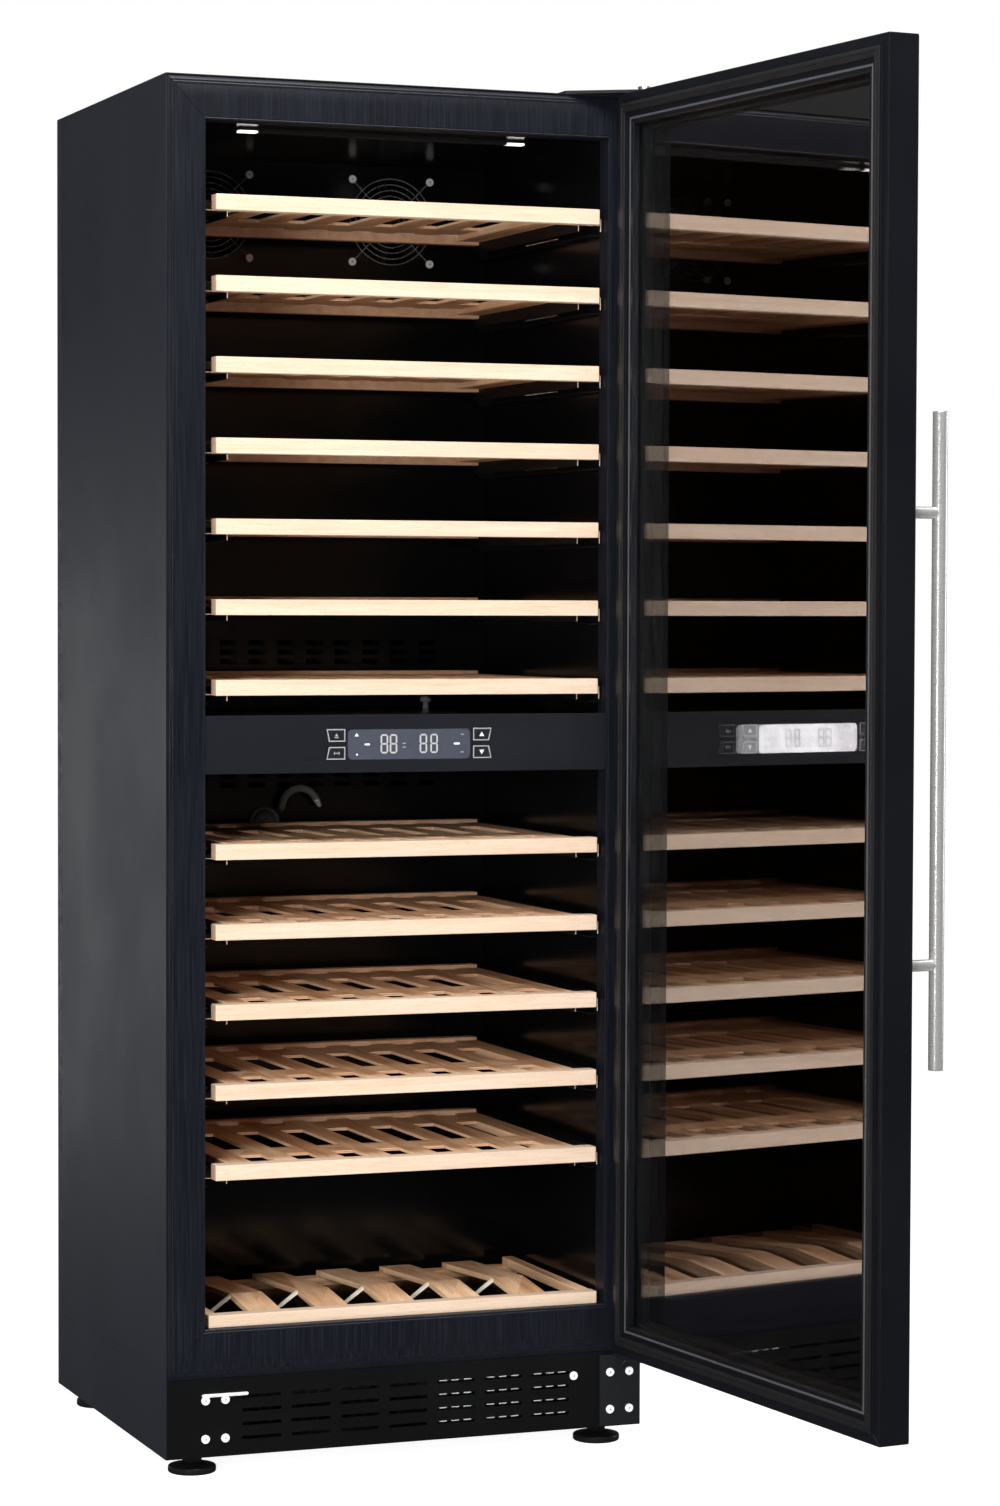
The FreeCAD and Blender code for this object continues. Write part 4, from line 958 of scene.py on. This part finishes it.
def floor_knob():
    """The small grey drain plug on the upper zone's floor."""
    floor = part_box("liner_upper")[0].z + LINER_T
    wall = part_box("duct_cover_upper")[0].y
    profile = [(0, 0), (4.5, 0), (4.0, 6), (4.4, 8), (7.6, 9.5), (8.2, 12), (7.2, 15), (4.0, 16.6), (0, 17)]
    bm = bmesh.new()
    place = (DRAIN_X, wall - DRAIN_SETBACK, floor)
    add_turned(bm, [(r * MM, h * MM) for r, h in profile], place, (0, 0, 1), 24)
    finish_piece("drain_plug", bm, coated("plug_plastic", (0.3, 0.32, 0.33), 0.4), "cabinet")


def condenser_wires():
    """The bright guard wires just behind the slots in front of the condenser."""
    plate_low, plate_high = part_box("kick_plate")
    bm = bmesh.new()
    wire = [(0, 0), (0.9 * MM, 0.4 * MM), (0.9 * MM, WIRE_L - 0.4 * MM), (0, WIRE_L)]
    for column in (1, 2, 3):
        for row in range(4):
            z = plate_low.z + WIRE_LOWEST + row * SLOT_ROW_PITCH
            for i in range(3):
                x = column * SLOT_COLUMN_PITCH + (i - 1) * WIRE_PITCH
                place = (x - WIRE_L / 2, plate_high.y + WIRE_SETBACK, z)
                add_turned(bm, wire, place, (1, 0, 0), 8)
    finish = metal("wire_zinc", (0.9, 0.9, 0.92), 0.35, metallic=0.3)
    finish_piece("condenser_guard", bm, finish, "cabinet")


# ---------------------------------------------------------------- control panel prints

def bar(bm, x, z, half_w, half_h, face_y):
    """A printed bar with pointed ends along its longer side."""
    tip = min(half_w, half_h)
    if half_w > half_h:
        outline = [(x - half_w, z), (x - half_w + tip, z + half_h), (x + half_w - tip, z + half_h),
                   (x + half_w, z), (x + half_w - tip, z - half_h), (x - half_w + tip, z - half_h)]
    else:
        outline = [(x, z - half_h), (x + half_w, z - half_h + tip), (x + half_w, z + half_h - tip),
                   (x, z + half_h), (x - half_w, z + half_h - tip), (x - half_w, z - half_h + tip)]
    add_prism(bm, [(px, face_y, pz) for px, pz in outline], (0, -PRINT_T, 0))


def digit_eight(bm, x, z, face_y):
    """All seven segments of one digit."""
    half_s = DIGIT_STROKE / 2
    side = DIGIT_W / 2 - half_s
    level = DIGIT_H / 2 - half_s
    for dz in (-level, 0, level):
        bar(bm, x, z + dz, side - SEGMENT_GAP, half_s, face_y)
    for sx in (-side, side):
        for sz in (-level / 2, level / 2):
            bar(bm, x + sx, z + sz, half_s, level / 2 - SEGMENT_GAP, face_y)


def triangle(bm, x, z, half, face_y, up=1):
    outline = [(x - half, face_y, z - up * half * 0.75), (x, face_y, z + up * half * 0.9),
               (x + half, face_y, z - up * half * 0.75)]
    add_prism(bm, outline, (0, -PRINT_T, 0))


def read_outs():
    """Two pairs of digits and the indicator marks on the window."""
    low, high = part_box("display_window")
    x, z = (low.x + high.x) / 2, (low.z + high.z) / 2
    bm = bmesh.new()
    for dx in DIGIT_X:
        digit_eight(bm, x + dx, z + 0.5 * MM, low.y)
    ink = print_ink("digit_grey", (0.38, 0.38, 0.36))
    finish_piece("read_out_digits", bm, ink, "cabinet")
    bm = bmesh.new()
    bar(bm, x - 57.7 * MM, z, 4.0 * MM, 1.1 * MM, low.y)
    bar(bm, x + 65.4 * MM, z, 4.4 * MM, 1.2 * MM, low.y)
    triangle(bm, x - 72.0 * MM, z + 12.5 * MM, 2.6 * MM, low.y)
    bar(bm, x - 71.7 * MM, z - 13 * MM, 1.5 * MM, 1.4 * MM, low.y)
    ink = print_ink("mark_white", (0.86, 0.88, 0.92))
    finish_piece("read_out_marks", bm, ink, "cabinet")
    bm = bmesh.new()
    for dx, dz in FAINT_MARKS:
        bar(bm, x + dx, z + dz, 2.6 * MM, 0.8 * MM, low.y)
    ink = print_ink("mark_faint", (0.2, 0.21, 0.25))
    finish_piece("read_out_faint_marks", bm, ink, "cabinet")


def key_outline(key, shrink):
    """The key's leaning outline in X-Z, drawn in by shrink."""
    low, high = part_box(key)
    border = KEY_FACE_INSET + shrink
    x0, x1, z0, z1 = inset((low.x, high.x, low.z, high.z), border)
    upper = "top" in key
    lean_top = 0.0 if upper else KEY_LEAN
    lean_bottom = KEY_LEAN if upper else 0.0
    if low.x < 0:
        return [(x0 + lean_bottom, z0), (x1, z0), (x1, z1), (x0 + lean_top, z1)]
    return [(x0, z0), (x1 - lean_bottom, z0), (x1 - lean_top, z1), (x0, z1)]


def key_prints():
    """Each key's outline and symbol, which go in with the key."""
    ink = print_ink("key_ink", (0.28, 0.28, 0.28))
    bright = print_ink("key_ink_bright", (0.82, 0.82, 0.84))
    for key in KEYS:
        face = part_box(key)[0].y
        outer = key_outline(key, KEY_LINE_INSET)
        inner = key_outline(key, KEY_LINE_INSET + KEY_LINE)
        bm = bmesh.new()
        for i in range(4):
            j = (i + 1) % 4
            quad = [outer[i], outer[j], inner[j], inner[i]]
            add_prism(bm, [(px, face, pz) for px, pz in quad], (0, -PRINT_T, 0))
        finish_piece(key + "_outline", bm, ink, key)
        x = sum(p[0] for p in outer) / 4
        z = sum(p[1] for p in outer) / 4
        bm = bmesh.new()
        if key == "key_right_top":
            triangle(bm, x, z, KEY_ARROW, face, 1)
        elif key == "key_right_bottom":
            triangle(bm, x, z, KEY_ARROW, face, -1)
        elif key == "key_left_top":
            triangle(bm, x, z + 0.6 * MM, 2.4 * MM, face, 1)
            bar(bm, x, z - 2.8 * MM, 3.2 * MM, 0.6 * MM, face)
        else:
            bar(bm, x - 2.8 * MM, z, 0.7 * MM, 2.2 * MM, face)
            bar(bm, x + 0.2 * MM, z, 2.0 * MM, 0.6 * MM, face)
            bar(bm, x + 3.4 * MM, z, 0.7 * MM, 2.2 * MM, face)
        finish_piece(key + "_symbol", bm, bright if "right" in key else ink, key)


# ---------------------------------------------------------------- door pieces

def door_rectangle():
    """The door's outline when closed, as (x0, x1, z0, z1)."""
    lows, highs = zip(*(closed_box(node) for node in DOOR_MEMBERS))
    return (min(v.x for v in lows), max(v.x for v in highs), min(v.z for v in lows), max(v.z for v in highs))


def door_gasket_bellows():
    """The magnetic seal: a foot, two bellows folds and a grooved face."""
    low, high = closed_box("door_gasket")
    depth = high.y - low.y
    section = [(0.0, 0.0), (0.0, 0.16), (0.16, 0.24), (0.07, 0.42), (0.0, 0.62), (0.05, 0.9), (0.14, 1.0),
               (0.40, 1.0), (0.46, 0.84), (0.54, 0.84), (0.60, 1.0), (0.86, 1.0), (0.95, 0.9), (1.0, 0.62),
               (0.93, 0.42), (0.84, 0.24), (1.0, 0.16), (1.0, 0.0)]
    profile = [(share, low.y + depth * rise) for share, rise in section]
    door = door_rectangle()
    bm = bmesh.new()
    add_ring(bm, inset(door, GASKET_INSET[0]), inset(door, GASKET_INSET[1]), profile)
    piece = finish_piece("door_gasket_bellows", bm, gasket_rubber(), "door", door_opening())
    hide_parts("door_gasket")


def glass_border():
    """The black fired border inside the outer pane."""
    face = closed_box("outer_glass")[1].y
    door = door_rectangle()
    profile = [(0.0, face), (1.0, face), (1.0, face + FRIT_T), (0.0, face + FRIT_T)]
    bm = bmesh.new()
    add_ring(bm, inset(door, FRIT_INSET[0]), inset(door, FRIT_INSET[1]), profile)
    finish = coated("border_enamel", (0.004, 0.004, 0.0045), 0.3)
    finish_piece("glass_border", bm, finish, "door", door_opening())


def door_beads():
    """The snap-in bead that holds the panes, round the inside of the door frame."""
    back = closed_box("door_frame_left")[1].y
    door = door_rectangle()
    section = [(0.0, 0.0), (0.0, 0.5), (0.25, 0.9), (0.5, 1.0), (0.75, 0.9), (1.0, 0.5), (1.0, 0.0)]
    profile = [(share, back + rise * BEAD_RISE) for share, rise in section]
    bm = bmesh.new()
    add_ring(bm, inset(door, DOOR_BEAD_INSET[0]), inset(door, DOOR_BEAD_INSET[1]), profile)
    finish = coated("bead_satin", (0.05, 0.05, 0.055), 0.3)
    finish_piece("door_glazing_bead", bm, finish, "door", door_opening())


# ---------------------------------------------------------------- stage, light and camera

def add_camera():
    """The photograph's viewpoint, from yaw to the right, pitch down and a little roll."""
    sin_y, cos_y = math.sin(CAMERA_YAW), math.cos(CAMERA_YAW)
    sin_p, cos_p = math.sin(CAMERA_PITCH), math.cos(CAMERA_PITCH)
    forward = Vector((sin_y * cos_p, cos_y * cos_p, -sin_p))
    right = Vector((cos_y, -sin_y, 0))
    up = right.cross(forward)
    rolled_right = right * math.cos(CAMERA_ROLL) + up * math.sin(CAMERA_ROLL)
    rolled_up = up * math.cos(CAMERA_ROLL) - right * math.sin(CAMERA_ROLL)
    data = bpy.data.cameras.new("camera")
    data.lens = CAMERA_LENS
    data.sensor_width = CAMERA_SENSOR
    data.clip_end = 100
    camera = bpy.data.objects.new("camera", data)
    columns = Matrix((rolled_right, rolled_up, -forward)).transposed().to_4x4()
    camera.matrix_world = Matrix.Translation(CAMERA_PLACE) @ columns
    bpy.context.scene.collection.objects.link(camera)
    bpy.context.scene.camera = camera


def add_softbox(name, place, target, width, height, power, mirrored=True):
    """A rectangular area light; without mirrored it lights but doesn't show in glossy surfaces."""
    data = bpy.data.lights.new(name, "AREA")
    data.shape = "RECTANGLE"
    data.size = width
    data.size_y = height
    data.energy = power
    lamp = bpy.data.objects.new(name, data)
    lamp.location = place
    lamp.rotation_euler = (Vector(target) - Vector(place)).to_track_quat("-Z", "Y").to_euler()
    lamp.visible_glossy = mirrored
    bpy.context.scene.collection.objects.link(lamp)


def add_lights():
    """Two hidden lights at the left, softboxes for highlights, and one that the display window mirrors."""
    add_softbox("key_light", (-3.2, -4.5, 1.65), (0.0, 0.0, 0.85), 1.3, 2.4, 255, mirrored=False)
    add_softbox("top_light", (-0.4, -2.0, 3.6), (0.0, -0.4, 0.8), 2.6, 1.4, 120)
    add_softbox("left_light", (-4.6, -1.2, 1.6), (0.0, -0.2, 0.9), 1.0, 2.4, 60, mirrored=False)
    add_softbox("right_light", (4.6, -0.6, 1.5), (0.2, -0.3, 0.9), 0.5, 2.4, 30)
    add_softbox("rim_light", (-2.0, 4.6, 0.5), (-0.33, 0.0, 0.6), 2.2, 1.6, 6)
    add_softbox("window_light", (-3.3, -4.55, 0.73), (0.0, -0.25, 0.91), 0.7, 0.25, 17)


def add_world():
    """White behind the object; for light and reflections a dark room that grows brighter overhead."""
    world = bpy.data.worlds.new("studio")
    world.use_nodes = True
    nodes, join = world.node_tree.nodes, world.node_tree.links.new
    background = nodes["Background"]
    background.inputs["Color"].default_value = (1.0, 1.0, 1.0, 1.0)
    direction = nodes.new("ShaderNodeTexCoord")
    split = nodes.new("ShaderNodeSeparateXYZ")
    join(direction.outputs["Generated"], split.inputs[0])
    room = nodes.new("ShaderNodeMapRange")
    join(split.outputs[2], room.inputs["Value"])
    for socket, number in zip(room.inputs[1:5], (0.05, 0.9, 0.035, 0.3)):
        socket.default_value = number
    path = nodes.new("ShaderNodeLightPath")
    pick = nodes.new("ShaderNodeMix")
    join(path.outputs["Is Camera Ray"], pick.inputs[0])
    join(room.outputs[0], pick.inputs[2])
    pick.inputs[3].default_value = 1.0
    join(pick.outputs[0], background.inputs["Strength"])
    bpy.context.scene.world = world


def add_floor():
    """A plain pale floor, kept out of the gloss of the black sheets."""
    data = bpy.data.meshes.new("floor")
    low = cad_bounds[0].z
    corners = [(x * FLOOR_REACH, y * FLOOR_REACH, low) for x, y in ((-1, -1), (1, -1), (1, 1), (-1, 1))]
    data.from_pydata(corners, [], [(0, 1, 2, 3)])
    finish = Finish("floor_paper", {"Roughness": 0.9, "Specular IOR Level": 0.0,
                                    "Emission Color": (1.0, 1.0, 1.0), "Emission Strength": 0.93})
    cloud = finish.noise(1.5, 2.0)
    finish.put("Base Color", finish.mix(cloud, (0.5, 0.5, 0.5), (0.55, 0.55, 0.55)))
    data.materials.append(finish.material)
    floor = bpy.data.objects.new("floor", data)
    floor.visible_glossy = False
    floor.visible_transmission = False
    bpy.context.scene.collection.objects.link(floor)


def main():
    add_camera()
    add_world()
    add_lights()
    add_floor()
    dress_cabinet()
    dress_cooling()
    dress_racks()
    dress_door()
    front_frame_skin()
    screw_crosses()
    spare_hinge_strip()
    ball_cages()
    display_props()
    duct_filter()
    duct_probe()
    floor_knob()
    condenser_wires()
    read_outs()
    key_prints()
    door_gasket_bellows()
    glass_border()
    door_beads()
    bpy.context.scene.view_settings.view_transform = "Standard"


main()
